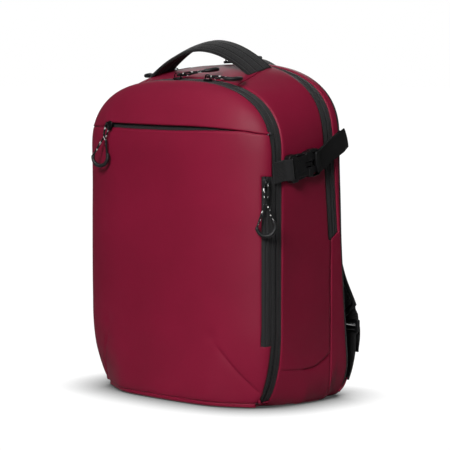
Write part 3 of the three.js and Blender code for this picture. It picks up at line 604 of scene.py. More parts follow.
FABRIC = coated_fabric()
TAPE = woven("zip_tape", "#101011", "#262426", 420, 380, rough=0.72)
WEBBING = woven("webbing", "#070708", "#181719", 330, 210, depth=0.0004, rough=0.78)
# A darker copy of the webbing for the compression straps and their tails: painted shade, darkened so they stay
# dark where the key lamp lights them.
PAINTED_SHADE_WEBBING = woven("painted_shade_webbing", "#030303", "#0c0c0d", 330, 210, depth=0.0003, rough=0.85, sheen=0.0)
LINING = woven("lining", "#3e3e43", "#5b5b61", 500, 500, depth=0.0001, rough=0.85)
MESH = spacer_mesh()
PLASTIC = plastic("black_plastic", "#060607", 0.40)
RUBBER = plastic("grip_rubber", "#0e0e10", 0.5, grain=900, bump=0.2)
METAL = painted_metal()
CORD = braided_cord()
STIFFENER = plastic("stiffener", "#d0d0cb", 0.55)
SLOT_MATERIALS = {
    "bag_fabric": FABRIC, "zip_tape": TAPE, "webbing": WEBBING, "lining": LINING, "air_mesh": MESH,
    "black_plastic": PLASTIC, "grip_rubber": RUBBER, "slider_metal": METAL, "cord": CORD,
    "stiffener": STIFFENER,
}


def dress_cad_nodes():
    """Every carried-over CAD node takes the procedural material of its slot."""
    slots = {entry["node"]: entry["material_slot"] for entry in frame["record"]["subparts"]}
    for name, node in frame["nodes"].items():
        material = SLOT_MATERIALS[slots[name]]
        if not node.material_slots:
            node.data.materials.append(material)
        for holder in node.material_slots:
            holder.material = material


dress_cad_nodes()


def settle(piece, body, *nodes, slot=None):
    """Puts a finished piece on its body in place of CAD nodes."""
    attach(piece, body)
    if nodes:
        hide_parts(*nodes)
    return piece


def shell(name, grid, slot, thickness, outward, body, *nodes, lined=False, skip=None):
    """A thickened sheet of a slot's material on its body, in place of CAD nodes."""
    materials = (SLOT_MATERIALS[slot], LINING) if lined else (SLOT_MATERIALS[slot],)
    piece = grid_object(name, grid, materials, skip)
    thicken(piece, thickness, outward, int(lined))
    settle(piece, body, *nodes, slot=slot)


# ---------------------------------------------------------------- body walls
def wall_grid(entries, front, rear, bow, seed, roll=1.5, dents=0.9, **edges):
    """Grid over the wall. entries are places s, or functions of depth; front and rear are functions of s."""
    rows = []
    for entry in entries:
        middle = float(entry(0.0)) if callable(entry) else entry
        y = spread(float(front(middle)), float(rear(middle)))
        rows.append((entry, y))
    count = max(len(y) for _, y in rows)
    grid = []
    for entry, y in rows:
        y = np.interp(np.linspace(0, 1, count), np.linspace(0, 1, len(y)), y)
        s = np.array([float(entry(v)) for v in y]) if callable(entry) else np.full(count, entry)
        grid.append((s, y))
    s = np.array([g[0] for g in grid])
    y = np.array([g[1] for g in grid])
    flat = surface(s, y)
    inset = edge_roll(flat, roll, **edges)
    across = np.linspace(0, 1, count)[None, :]
    inset = inset - bow * (4 * across * (1 - across)) - wobble(flat, 62.0, dents, seed)
    return surface(s, y, inset)


def s_rows(start, stop, step=0.012):
    """Places round the wall from start to stop, about step apart."""
    return list(np.linspace(start, stop, max(2, int(abs(stop - start) / step))))


def both_sides(rows):
    """Rows from 0 outwards, with their mirror images before them."""
    return [-row for row in reversed(rows[1:])] + rows


def packed(rows, closeness=(0.0015, 0.004, 0.008)):
    """Adds rows close to both ends so that the edges can roll."""
    sign = np.sign(rows[-1] - rows[0])
    first = [rows[0]] + [rows[0] + sign * c for c in closeness]
    last = [rows[-1] - sign * c for c in reversed(closeness)] + [rows[-1]]
    middle = [r for r in rows[1:-1] if min(abs(r - rows[0]), abs(r - rows[-1])) > closeness[-1] + 0.002]
    return first + middle + last


WALL_GAP = 0.25
ZIP_END_S = float(s_at_height(MAIN_END, MAIN_FRONT))
NEAR_ZIP_END = (-0.006, -0.003, -0.0015, 0.0, 0.0015, 0.003, 0.006, 0.01)
SEAM_HALF_GAP = 0.001
TOP_SEAM = 1 - 2 / math.pi * math.acos((TOP_SEAM_X / HALF_WIDTH) ** (ARCH_POWER / 2)) + 0.002
TOP_SEAM_REAR = 0.225
SIDE_ROWS_END = 1.90    # below this place on the side the rows follow the base's seam
BOOT_TUCK = 4.0
BOOT_NARROWING = 0.988


def top_seam(y):
    """The top panel's seams draw together towards the rear."""
    t = np.clip((np.asarray(y, float) - ZIP_REAR) / (MAIN_FRONT - ZIP_REAR), 0, 1)
    return TOP_SEAM + (TOP_SEAM_REAR - TOP_SEAM) * t


def wall_front(_s):
    """Depth of the walls' front edge."""
    return ZIP_REAR + WALL_GAP


def beside_main_zip(s, shift):
    """Depth at shift behind the main zip's front edge, and at the rear seam below the zip's end."""
    z = float(height_at(abs(s)))
    blend = float(smooth(MAIN_END - 0.8, MAIN_END + 0.4, z))
    return REAR_SEAM + (float(main_zip_front(z)) + shift - REAR_SEAM) * blend


def wall_rear(s):
    """Depth of the top and side panels' rear edge."""
    return beside_main_zip(s, 0) - WALL_GAP


def boot_rear(_s):
    """Depth of the base's rear edge."""
    return REAR_SEAM - WALL_GAP


def rear_wall_front(s):
    """Depth of the rear wall's front edge."""
    return beside_main_zip(s, MAIN_WIDTH) + WALL_GAP


def rear_wall_rear(s):
    """Depth of the rear wall's rear edge."""
    return float(rear_edge(surface(abs(s), REAR_PLANE)[..., 2])) - WALL_GAP


def wall_piece(node, grid):
    """A fabric wall of the body, lined inside, in place of its node."""
    shell(f"{node}_fabric", grid, "bag_fabric", WALL_THICK, from_axis, "body", node, lined=True)


def on_top(share):
    """A row of the top panel, share -1 to 1 from its left seam to its right one."""
    return lambda y: share * (top_seam(y) - SEAM_HALF_GAP)


def on_arch(share, side):
    """A row of a side panel's arched part, share 0 to 1 from the top seam to the arch's end."""
    def row(y):
        start = top_seam(y) + SEAM_HALF_GAP
        return side * (start + (1 - start) * share)
    return row


def above_boot(share, side):
    """A row of a side panel's lowest part, share 1 along the base's seam."""
    def row(y):
        seam = s_at_height(boot_seam(y), y) - 0.002
        return side * (SIDE_ROWS_END + (seam - SIDE_ROWS_END) * share)
    return row


def under_side(share):
    """A row of the base's side, share 0 along its tucked edge and 1 at the base's flat part."""
    return lambda y: s_at_height(boot_seam(y) + BOOT_TUCK, y) * (1 - share) + 3.0 * share


def opposite(row):
    """The same row on the left-hand side."""
    if callable(row):
        return lambda y: -row(y)
    return -row


def make_walls():
    """The top panel and the two side panels."""
    rows = [on_top(share) for share in packed(s_rows(-1, 1, 0.04), (0.006, 0.016, 0.03))]
    wall_piece("top_panel", wall_grid(rows, wall_front, wall_rear, 0.8, 3.1))
    arch_shares = np.concatenate([[0, 0.002, 0.006, 0.012], np.linspace(0.03, 1, 50)])
    low_shares = (0.2, 0.4, 0.6, 0.8, 0.9, 0.96, 1.0)
    straight = sorted(set(s_rows(1.02, SIDE_ROWS_END)) | {ZIP_END_S + step for step in NEAR_ZIP_END})
    for side, name in SIDES:
        rows = [on_arch(share, side) for share in arch_shares]
        rows += [side * row for row in straight]
        rows += [above_boot(share, side) for share in low_shares]
        grid = wall_grid(rows, wall_front, wall_rear, 1.2, 5.0 + side, 1.7, 1.3)
        wall_piece(f"side_panel_{name}", grid)


def make_boot():
    """The base: its sides tuck under the side panels, and it wraps under the bag."""
    shares = (0, 0.03, 0.08, 0.15, 0.25, 0.35, 0.45, 0.55, 0.65, 0.75, 0.85, 0.92, 0.97)
    half = [under_side(share) for share in shares]
    flat = [3.0, 3.03, 3.1, 3.25, 3.5, 3.75, 4.0]
    mirror = [opposite(row) for row in reversed(half + flat[:-1])]
    grid = wall_grid(half + flat + mirror, wall_front, boot_rear, 0.0, 9.0, 0.9, 0.35)
    grid[..., 2] = np.maximum(grid[..., 2], 0.0)
    standing = (np.abs(grid[..., 0]) < 140) & (grid[..., 2] < 1.2)
    grid[..., 2] = np.where(standing, 0.0, grid[..., 2])
    squeeze = smooth(66, 61, grid[..., 2])[..., None]
    towards = np.array([BOOT_NARROWING, 1, 1])
    wall_piece("base_boot", grid * (towards + (1 - towards) * squeeze))


def make_rear_wall():
    """The wall between the main zip and the back panel."""
    rows = sorted(set(s_rows(0, 3.95, 0.02)) | {ZIP_END_S + step for step in (-0.01, *NEAR_ZIP_END)})
    edges = (rear_wall_front, rear_wall_rear)
    grid = wall_grid(both_sides(rows), *edges, 0.5, 12.0, 1.2, 0.5, ends=(False, False))
    wall_piece("rear_wall", grid)


# ---------------------------------------------------------------- zips
def zip_profile(count, centre_at, half, sunk=1.1):
    """How far each point across a tape lies below the wall: a raised lip beside a sunk centre line."""
    across = np.linspace(0, 1, count)
    distance = np.abs(across - centre_at) * half
    return sunk + 0.9 * np.exp(-(distance / 0.9) ** 2) - 0.9 * np.exp(-((distance - 2.2) / 1.1) ** 2)


def zip_band(name, s_values, front, rear, centre_at, width, body, node, count=15, sunk=1.1, end_s=9.0):
    """A zip tape round the wall with its coil, tucked in beyond end_s."""
    profile = zip_profile(count, centre_at, width, sunk)
    rows = []
    for s in s_values:
        y = np.linspace(float(front(s)), float(rear(s)), count)
        pitch = 0.12 * np.sin(abs(s) * 900) * np.exp(-((profile - profile.max()) / 0.5) ** 2)
        tuck = 1.8 * float(smooth(end_s - 0.006, end_s + 0.004, abs(s)))
        rows.append(surface(np.full(count, s), y, profile + pitch + tuck))
    shell(name, np.array(rows), "zip_tape", 1.4, from_axis, body, node)


def make_arch_zips():
    """Both halves of the front arch zip, and the main zip."""
    gap = 0.12
    values = both_sides(s_rows(0, ARCH_ZIP_END, 0.008))
    zip_band("front_zip_flap_half", values, lambda s: ZIP_FRONT + 0.1, lambda s: ZIP_CENTRE - gap,
             1.0, ZIP_CENTRE - ZIP_FRONT, "front_flap", "front_zip_flap_side", sunk=0.5)
    zip_band("front_zip_body_half", values, lambda s: ZIP_CENTRE + gap, lambda s: ZIP_REAR - 0.1,
             0.0, ZIP_REAR - ZIP_CENTRE, "body", "front_zip_body_side", sunk=0.8)

    def main_edge(shift):
        return lambda s: main_zip_front(height_at(abs(s))) + shift
    values = both_sides(s_rows(0, ZIP_END_S + 0.03, 0.004))
    zip_band("main_zip_tape", values, main_edge(0.2), main_edge(MAIN_WIDTH - 0.2), 0.5, MAIN_WIDTH,
             "body", "main_zip", 27, end_s=ZIP_END_S)


# ---------------------------------------------------------------- front flap
def front_grid(x, z):
    """Points of the front's outer face at x and z, with a little unevenness away from the rim."""
    y = front_depth(x, z)
    flat = np.stack([x, y, z], -1)
    y = y - wobble(flat, 70.0, 1.1, 21.0) * np.clip(bulge(x, z) / 12, 0, 1)
    return np.stack([x, y, z], -1)


def cluster(count, power=2.0):
    """0 to 1 with points packed towards both ends."""
    t = np.linspace(-1, 1, count)
    return (np.sign(t) * (1 - (1 - np.abs(t)) ** power) + 1) / 2


RIM_INSET_LEFT, RIM_INSET_RIGHT = 1.3, 0.3     # gap between the front panel's rim and the arch zip
PANEL_THICK = 2.6
LIP_HEIGHT = 5.0


def make_upper_panel():
    """The front's arched upper part, which overhangs the pocket zip with a rolled edge."""
    overhang, edge_turn = 2.2, 1.9
    across = cluster(121, 2.2) * 2 - 1
    up = np.linspace(0, 1, 46)
    up = np.concatenate([[0, 0.012, 0.03, 0.055], up[3:-1], [0.985, 0.994, 1.0]])
    up = np.unique(np.clip(1 - (1 - up) ** 1.8, 0, 1))
    start = math.asin(((SEAM_END - FRONT_SPRING) / ARCH_RISE) ** (ARCH_POWER / 2))
    angle = np.pi / 2 - across * (np.pi / 2 - start)
    power = 2 / ARCH_POWER
    inset = RIM_INSET_LEFT + (RIM_INSET_RIGHT - RIM_INSET_LEFT) * smooth(-0.7, 0.1, across)
    rim_x = np.sign(across) * (HALF_WIDTH - inset) * np.abs(np.cos(angle)) ** power
    rim_z = FRONT_SPRING + (ARCH_RISE - inset) * np.abs(np.sin(angle)) ** power
    low_x = across * (half_width_at(SEAM_END) - inset)
    low_z = slit_bottom(low_x) + slit_open(low_x) + 0.25
    x = low_x[None] + (rim_x - low_x)[None] * up[:, None]
    z = low_z[None] + (rim_z - low_z)[None] * up[:, None]
    grid = front_grid(x, z)
    above = z - low_z[None]
    opened = 0.15 + 0.85 * slit_open(x) / SLIT_HEIGHT
    grid[..., 1] -= overhang * np.clip(1 - above / 16, 0, 1) ** 2 * opened
    grid[..., 1] += edge_turn * rolled(np.clip(1 - above / 2.2, 0, 1))
    shell("front_upper_fabric", grid, "bag_fabric", PANEL_THICK, FORWARD, "front_flap", "front_upper_panel",
          lined=True)


def make_lower_panel():
    """The front's pocket panel: rolled edges, and a cut-out in its right side for the quick-access zip."""
    quick_in = QUICK_LOW[0] / HALF_WIDTH
    left = -1 + cluster(210, 1.9) * (1 + quick_in)
    edge = [quick_in - d / HALF_WIDTH for d in (2.6, 1.8, 1.1, 0.5)]
    left = np.concatenate([left[left < edge[0]], edge, [quick_in]])
    outer = quick_in + (1 - quick_in) * (1 - (1 - np.linspace(0, 1, 13)[1:]) ** 1.8)
    across = np.concatenate([left, outer])
    column_in = len(left) - 1
    foot = LIP_HEIGHT + np.array([0, 0.5, 1.2, 2.2])
    below = np.linspace(LIP_HEIGHT + 3.4, QUICK_LOW[2] - 1.8, 66)
    near_low = QUICK_LOW[2] - np.array([1.1, 0.5, 0.0])
    beside = np.linspace(QUICK_LOW[2] + 2, QUICK_HIGH[2] - 2, 88)
    near_high = QUICK_HIGH[2] + np.array([0.0, 0.5, 1.1])
    above = np.linspace(QUICK_HIGH[2] + 1.8, SLIT_BOTTOM - 3.4, 22)
    top = SLIT_BOTTOM - np.array([2.2, 1.2, 0.5, 0])
    heights = np.concatenate([foot, below, near_low, beside, near_high, above, top])
    row_low = len(foot) + len(below) + len(near_low) - 1
    row_high = row_low + len(beside) + 1
    z = np.repeat(heights[:, None], len(across), 1)
    x = across[None] * half_width_at(heights)[:, None]
    climb = (slit_bottom(x) - SLIT_BOTTOM) * np.clip((z - 285) / (SLIT_BOTTOM - 285), 0, 1)
    grid = front_grid(x, z + climb)
    beyond_x = np.maximum(QUICK_LOW[0] - x, 0)
    beyond_z = np.maximum(np.maximum(QUICK_LOW[2] - z, z - QUICK_HIGH[2]), 0)
    grid[..., 1] += 1.5 * rolled(np.clip(1 - np.hypot(beyond_x, beyond_z) / 2.6, 0, 1))
    grid[..., 1] += 1.8 * rolled(np.clip(1 - (SLIT_BOTTOM - z) / 3.0, 0, 1))
    grid[..., 1] += 1.6 * np.exp(-((z - SLIT_BOTTOM) / 14) ** 2) * slit_open(x) / SLIT_HEIGHT
    grid[..., 1] += 1.6 * rolled(np.clip(1 - (z - LIP_HEIGHT) / 2.4, 0, 1))

    def cut_out(row, column):
        return row_low <= row < row_high and column >= column_in
    shell("front_lower_fabric", grid, "bag_fabric", PANEL_THICK, FORWARD, "front_flap", "front_lower_panel",
          lined=True, skip=cut_out)


def make_front_lip():
    """The strip of the base that shows under the front panel's bottom seam."""
    set_back, ground = 1.6, 0.2
    heights = np.array([0.3, 0.8, 1.8, 3.0, 4.2, 5.2])
    x = (cluster(151, 2.2) * 2 - 1) * (half_width_at(LIP_HEIGHT) - 0.6)
    y = front_depth(x, np.full(len(x), LIP_HEIGHT), False) + set_back
    round_under = 1.6 * np.clip((2.4 - heights) / 2.4, 0, 1) ** 2
    yy = np.minimum(y[None] + round_under[:, None], ZIP_FRONT)
    xx, zz = np.meshgrid(x, heights)
    grid = np.stack([xx, yy, zz], -1)
    under = grid[:1].copy()
    under[..., 0] *= 0.985
    under[..., 1] = ZIP_FRONT + 1.0
    under[..., 2] = ground
    grid = np.concatenate([under, (grid[:1] + under) / 2, grid])
    shell("front_base_lip", grid, "bag_fabric", 1.6, facing(0, -1, -0.3), "front_flap")


def make_base_corners():
    """The base's front corners under the arch zip's ends: the body's part and the flap's."""
    turns = np.linspace(ARCH_ZIP_END, 3.12, 14)
    parts = (
        ("base", "body", (ZIP_CENTRE + 0.3, ZIP_CENTRE + 0.8, -50.0, -47.0, ZIP_REAR + 0.2, ZIP_REAR + 1.6)),
        ("lip", "front_flap", (ZIP_FRONT - 0.5, ZIP_FRONT + 0.6, -59.0, ZIP_CENTRE - 0.9, ZIP_CENTRE - 0.3)),
    )
    for side, name in SIDES:
        for label, body, depths in parts:
            grid = np.array([surface(np.full(len(depths), side * turn), np.array(depths),
                                     0.5 - smooth(ARCH_ZIP_END, 2.90, turn)) for turn in turns])
            grid[..., 2] = np.maximum(grid[..., 2], 0.2)
            shell(f"{label}_corner_{name}", grid, "bag_fabric", 1.4, from_axis, body)


def make_pocket_zip():
    """The zip's tape in the slit, with its coil as a raised ridge."""
    x = np.linspace(POCKET_LOW[0], POCKET_HIGH[0], 140)
    z = np.linspace(SLIT_BOTTOM - 4, SLIT_TOP + 3, 15)
    xx, zz = np.meshgrid(x, z)
    ridge = 0.9 * np.exp(-((zz - (SLIT_TOP + SLIT_BOTTOM) / 2) / 1.0) ** 2)
    grid = np.stack([xx, front_depth(xx, zz, False) + 4.4 - ridge, zz], -1)
    shell("pocket_zip_tape", grid, "zip_tape", 1.2, FORWARD, "front_flap", "pocket_zip")


def quick_zip_row(height):
    """Points across the quick-access zip at a height: it bends round the front's rounded edge."""
    edge = float(half_width_at(height)) - 0.1
    start = QUICK_LOW[0] - 2.0
    x = start + (edge - start) * (1 - (1 - np.linspace(0, 1, 31)) ** 1.7)
    y = front_depth(x, height, False)
    lengths = np.concatenate([[0], np.cumsum(np.hypot(np.diff(x), np.diff(y)))])
    off = np.abs(lengths - (lengths[-1] + 2.6) / 2)
    relief = 1.0 + 0.9 * np.exp(-(off / 0.7) ** 2) - 0.7 * np.exp(-((off - 1.9) / 0.9) ** 2)
    relief = relief + 0.12 * np.sin(height * 4.2) * np.exp(-(off / 0.9) ** 2)
    tx, ty = np.gradient(x, lengths), np.gradient(y, lengths)
    size = np.hypot(tx, ty)
    return np.stack([x - ty / size * relief, y + tx / size * relief, np.full(len(x), height)], -1)


def make_quick_zip():
    """The zip's tape on the front's rounded right edge."""
    heights = np.linspace(QUICK_LOW[2] - 2.5, QUICK_HIGH[2] + 2.5, 260)
    grid = np.array([quick_zip_row(height) for height in heights])
    shell("quick_zip_tape", grid, "zip_tape", 1.2, facing(0.7, -0.7, 0), "front_flap", "quick_pocket_zip")


# ---------------------------------------------------------------- strips, cords and moulded parts
def smooth_path(points, step=3.0):
    """Catmull-Rom resampling of a path in mm."""
    p = np.asarray(points, float)
    ends = np.vstack([2 * p[0] - p[1], p, 2 * p[-1] - p[-2]])
    out = []
    for a, b, c, d in zip(ends, ends[1:], ends[2:], ends[3:]):
        count = max(2, int(round(np.linalg.norm(c - b) / step)))
        t = np.linspace(0, 1, count, endpoint=False)[:, None]
        bend, twist = 2 * a - 5 * b + 4 * c - d, 3 * b - a - 3 * c + d
        out.append(0.5 * (2 * b + (c - a) * t + bend * t**2 + twist * t**3))
    return np.vstack(out + [p[-1:]])


def unit(vectors):
    """Vectors scaled to length 1."""
    return vectors / np.maximum(np.linalg.norm(vectors, axis=-1, keepdims=True), 1e-9)


def sweep(name, centre, wide, profile, material):
    """A closed solid: profile[ring][corner] = (across, up) in mm, carried along centre (mm)."""
    centre = np.asarray(centre, float)
    along = unit(np.gradient(centre, axis=0))
    wide = np.broadcast_to(np.asarray(wide, float), centre.shape)
    wide = unit(wide - along * (wide * along).sum(-1, keepdims=True))
    up = np.cross(along, wide)
    profile = np.broadcast_to(profile, (len(centre),) + np.asarray(profile).shape[-2:])
    points = centre[:, None] + wide[:, None] * profile[..., :1] + up[:, None] * profile[..., 1:]
    rings, corners = points.shape[:2]
    lengths = np.concatenate([[0], np.cumsum(np.linalg.norm(np.diff(centre, axis=0), axis=-1))])
    middle = points[rings // 2]
    edge = np.linalg.norm(np.roll(middle, -1, axis=0) - middle, axis=-1)
    around = np.concatenate([[0], np.cumsum(edge)])
    faces, uvs = [], []
    for r in range(rings - 1):
        for c in range(corners):
            n = (c + 1) % corners
            faces.append((r * corners + c, r * corners + n, (r + 1) * corners + n, (r + 1) * corners + c))
            uvs += [(lengths[r], around[c]), (lengths[r], around[c + 1]),
                    (lengths[r + 1], around[c + 1]), (lengths[r + 1], around[c])]
    faces.append(tuple(range(corners - 1, -1, -1)))
    faces.append(tuple((rings - 1) * corners + c for c in range(corners)))
    uvs += [(0.0, around[c]) for c in range(corners - 1, -1, -1)]
    uvs += [(lengths[-1], around[c]) for c in range(corners)]
    mesh = bpy.data.meshes.new(name)
    mesh.from_pydata((points.reshape(-1, 3) * MM).tolist(), [], faces)
    layer = mesh.uv_layers.new(name="UVMap")
    layer.data.foreach_set("uv", (np.array(uvs) * MM).ravel())
    mesh.materials.append(material)
    mesh.polygons.foreach_set("use_smooth", [len(p.vertices) == 4 for p in mesh.polygons])
    work = bmesh.new()
    work.from_mesh(mesh)
    bmesh.ops.recalc_face_normals(work, faces=work.faces)
    work.to_mesh(mesh)
    work.free()
    return linked(name, mesh)


def band_profile(width, thick, grooves=(), depth=0.35, count=33):
    """Section of webbing: flat faces, rounded selvedges, and stitched grooves at given offsets."""
    across = np.linspace(-1, 1, count)
    half, edge = width / 2, thick / 2
    x = across * (half - edge * 0.9)
    sink = sum((depth * np.exp(-((x - g) / 0.7) ** 2) for g in grooves), np.zeros(count))
    ends = np.linspace(-math.pi / 2, math.pi / 2, 7)[1:-1]
    right = np.stack([x[-1] + 0.9 * edge * np.cos(ends), edge * np.sin(ends)], -1)
    left = np.stack([x[0] - 0.9 * edge * np.cos(ends), -edge * np.sin(ends)], -1)
    low = np.stack([x, -edge + sink], -1)
    high = np.stack([x[::-1], edge - sink[::-1]], -1)
    return np.concatenate([low, right, high, left])


def along_path(values, count):
    """Rows of values, stretched evenly over count places."""
    places, marks = np.linspace(0, 1, count), np.linspace(0, 1, len(values))
    return np.stack([np.interp(places, marks, column) for column in np.asarray(values, float).T], -1)


def band(name, path, across, thick, body=None, nodes=(), material=WEBBING, width=25.0, step=2.0):
    """A strip of webbing along a path (mm), put on its body if one is given."""
    centre = smooth_path(path, step)
    profile = band_profile(width, thick)
    piece = sweep(name, centre, across, profile, material)
    if body:
        settle(piece, body, *nodes, slot="webbing")
    return piece


def round_profile(radius, count=12):
    """A circle's points."""
    angles = np.linspace(0, 2 * math.pi, count, endpoint=False)
    return np.stack([radius * np.cos(angles), radius * np.sin(angles)], -1)


def moulded(name, loops, z0, z1, bevel, place):
    """A plate with bevelled edges: loops[0] is its outline and the others are holes, in local mm."""
    curve = bpy.data.curves.new(name, "CURVE")
    curve.dimensions = "2D"
    curve.fill_mode = "BOTH"
    curve.extrude = (z1 - z0) / 2 - bevel
    curve.bevel_depth = bevel
    curve.bevel_resolution = 2
    curve.offset = -bevel
    for loop in loops:
        spline = curve.splines.new("POLY")
        spline.points.add(len(loop) - 1)
        for point, (x, y) in zip(spline.points, loop):
            point.co = (x, y, 0, 1)
        spline.use_cyclic_u = True
    holder = linked(name + "_outline", curve)
    graph = bpy.context.evaluated_depsgraph_get()
    mesh = bpy.data.meshes.new_from_object(holder.evaluated_get(graph), depsgraph=graph)
    bpy.data.objects.remove(holder)
    work = bmesh.new()
    work.from_mesh(mesh)
    bmesh.ops.remove_doubles(work, verts=work.verts, dist=1e-4)
    bmesh.ops.recalc_face_normals(work, faces=work.faces)
    for vertex in work.verts:
        x, y, z = vertex.co
        vertex.co = Vector(place(x, y, z + (z0 + z1) / 2)) * MM
    bmesh.ops.recalc_face_normals(work, faces=work.faces)
    work.to_mesh(mesh)
    work.free()
    mesh.name = name
    return linked(name, mesh)


def joined(name, parts, material):
    """One object from several, with one material and flat faces kept crisp."""
    work = bmesh.new()
    for part in parts:
        work.from_mesh(part.data)
        bpy.data.objects.remove(part)
    mesh = bpy.data.meshes.new(name)
    work.to_mesh(mesh)
    work.free()
    mesh.materials.append(material)
    for polygon in mesh.polygons:
        polygon.material_index = 0
        polygon.use_smooth = False
    return linked(name, mesh)


def rectangle(x0, x1, y0, y1):
    """Corners of a rectangle, anticlockwise."""
    return [(x0, y0), (x1, y0), (x1, y1), (x0, y1)]


def rounded_outline(corners, radius, count=5):
    """A polygon's corners replaced by arcs. radius is one number or one a corner."""
    corners = np.asarray(corners, float)
    radii = np.broadcast_to(radius, len(corners))
    out = []
    for i, corner in enumerate(corners):
        before = unit(corners[i - 1] - corner)
        after = unit(corners[(i + 1) % len(corners)] - corner)
        for t in np.linspace(0, 1, count):
            a, b = corner + before * radii[i], corner + after * radii[i]
            out.append(((1 - t) ** 2) * a + 2 * t * (1 - t) * corner + t * t * b)
    return [tuple(p) for p in out]


# ---------------------------------------------------------------- carry handle and top
HANDLE_WIDTH = 38.0
HANDLE_LEFT, HANDLE_RIGHT = np.array([-85.0, -13.0]), np.array([69.0, 4.0])
HANDLE_PEAK = box_mm("carry_handle")[1][2] - 7.4
HANDLE_LEAN = 11 / 36
HANDLE_STITCHES = (-15.5, -5.5, 5.5, 15.5)


def top_height(x, y):
    """Height of the body's top surface."""
    s = 1 - 2 / math.pi * math.acos((abs(x) / HALF_WIDTH) ** (ARCH_POWER / 2))
    return float(surface(s * (1 if x > 0 else -1), y)[..., 2])


def make_handle():
    """Folded webbing that rises out of the top seams, cupped in the middle, with lengthwise stitch lines."""
    path = []
    for t in np.linspace(-1, 1, 41):
        x, y = HANDLE_LEFT + (HANDLE_RIGHT - HANDLE_LEFT) * (t + 1) / 2
        ground = top_height(*(HANDLE_LEFT if t < 0 else HANDLE_RIGHT)) - 1.0
        path.append((x, y, ground + (HANDLE_PEAK - ground) * (1 - abs(t) ** 1.9)))
    centre = smooth_path(path, 2.2)
    lean = [(0, 1, slope) for slope in (0.22, HANDLE_LEAN, HANDLE_LEAN, HANDLE_LEAN, 0.30)]
    section = band_profile(HANDLE_WIDTH, 3.6, HANDLE_STITCHES, 0.5, 61)
    cup = np.stack([np.zeros(len(section)), 2.2 * (section[:, 0] / (HANDLE_WIDTH / 2)) ** 2], -1)
    profile = np.array([section - (1 - t ** 2) * cup for t in np.linspace(-1, 1, len(centre))])
    return sweep("carry_handle_webbing", centre, along_path(lean, len(centre)), profile, WEBBING)


def blend_handle(piece):
    """Bakes the handle's placement into its mesh and hides the CAD handle and its end tabs."""
    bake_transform(piece)
    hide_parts("carry_handle", "handle_end_right", "handle_end_left")


# ---------------------------------------------------------------- hang loop and yoke
def make_hang_loop():
    """A short loop of narrow webbing over the yoke."""
    low, high = box_mm("hang_loop")
    middle = (low[1] + high[1]) / 2
    half, top = high[0] - 1, high[2] - 1
    path = [(half * t, middle + 0.6 * math.sin(5 * t), top - 8 * t * t) for t in np.linspace(-1, 1, 15)]
    band("hang_loop_webbing", path, (0, 1, 0), 2.0, "body", ("hang_loop",), width=10)


def make_yoke():
    """The padded band across the top of the back, drooping at both ends."""
    low, high = box_mm("strap_yoke")
    x = np.linspace(low[0] + 8, high[0] - 8, 90)
    t = np.concatenate([[0, 0.04, 0.1], np.linspace(0.2, 0.8, 9), [0.9, 0.96, 1.0]])
    tt, xx = np.meshgrid(t, x, indexing="ij")
    out = np.abs(xx) / 82
    y = high[1] - 6.2 * tt - 0.4 + 0.9 * np.sin(tt * math.pi) - 0.6 * out ** 6
    z = low[2] - 1 + (high[2] + 1 - low[2]) * tt - 6.0 * out ** 3
    grid = np.stack([xx, y, z], -1)
    shell("strap_yoke_padding", grid, "air_mesh", 3.0, facing(0, 1, 0.3), "body", "strap_yoke")


# ---------------------------------------------------------------- compression straps
FEMALE_LOW, FEMALE_HIGH = box_mm("buckle_female_right")
BUCKLE_LENGTH, BUCKLE_WIDTH, BUCKLE_THICK = 38.0, 33.0, FEMALE_HIGH[0] - FEMALE_LOW[0]
STRAP_ALONG = np.array(JOINTS["buckle_release_right"]["axis"], float)
STRAP_ACROSS = np.cross((1, 0, 0), STRAP_ALONG)
STRAP_ORIGIN = (FEMALE_LOW + FEMALE_HIGH) / 2 - STRAP_ALONG * BUCKLE_LENGTH / 2
STRAP_ORIGIN[0] = FEMALE_LOW[0]


def on_strap(side):
    """Maps a strap's local (along, across, out) to the object's frame."""
    def place(x, y, z):
        point = STRAP_ORIGIN + STRAP_ALONG * x + STRAP_ACROSS * y + np.array([1.0, 0, 0]) * z
        return (side * point[0], point[1], point[2])
    return place


def female_outline():
    """Outline of the buckle's female half, open in the middle of its mouth."""
    half = BUCKLE_WIDTH / 2
    right = [(0, -half + 3), (3, -half), (12, -half), (14, -half + 4.5), (29, -half + 4.5),
             (31, -half + 1.5), (BUCKLE_LENGTH, -half + 1), (BUCKLE_LENGTH, -4), (27, -3.2)]
    left = [(x, -y) for x, y in reversed(right)]
    return rounded_outline(right + left, 1.4, 4)


def make_female_buckle(side, name):
    """A shell with a bar for the webbing, a raised rib and two lips at its mouth."""
    place = on_strap(side)
    half, mouth = BUCKLE_WIDTH / 2, BUCKLE_LENGTH - 0.6
    slot = rounded_outline(rectangle(4, 7.2, -half + 4, half - 4), 1.0, 3)
    shell = moulded("female_shell", [female_outline(), slot], 0.2, BUCKLE_THICK, 1.1, place)
    low = BUCKLE_THICK - 1.4
    rib = rounded_outline([(10, -7.5), (24, -6), (24, 6), (10, 7.5)], 2.0, 4)
    rise = moulded("female_rib", [rib], low, BUCKLE_THICK + 0.7, 0.6, place)
    rim = rounded_outline([(30, -half + 2.4), (mouth, -half + 2), (mouth, -5), (32, -5)], 1.2, 3)
    lips = [moulded("female_lip", [[(x, d * y) for x, y in rim][::d]], low, BUCKLE_THICK + 0.6, 0.6, place)
            for d in (1, -1)]
    piece = joined(f"buckle_female_{name}_moulding", [shell, rise, *lips], PLASTIC)
    settle(piece, "body", f"buckle_female_{name}", slot="black_plastic")


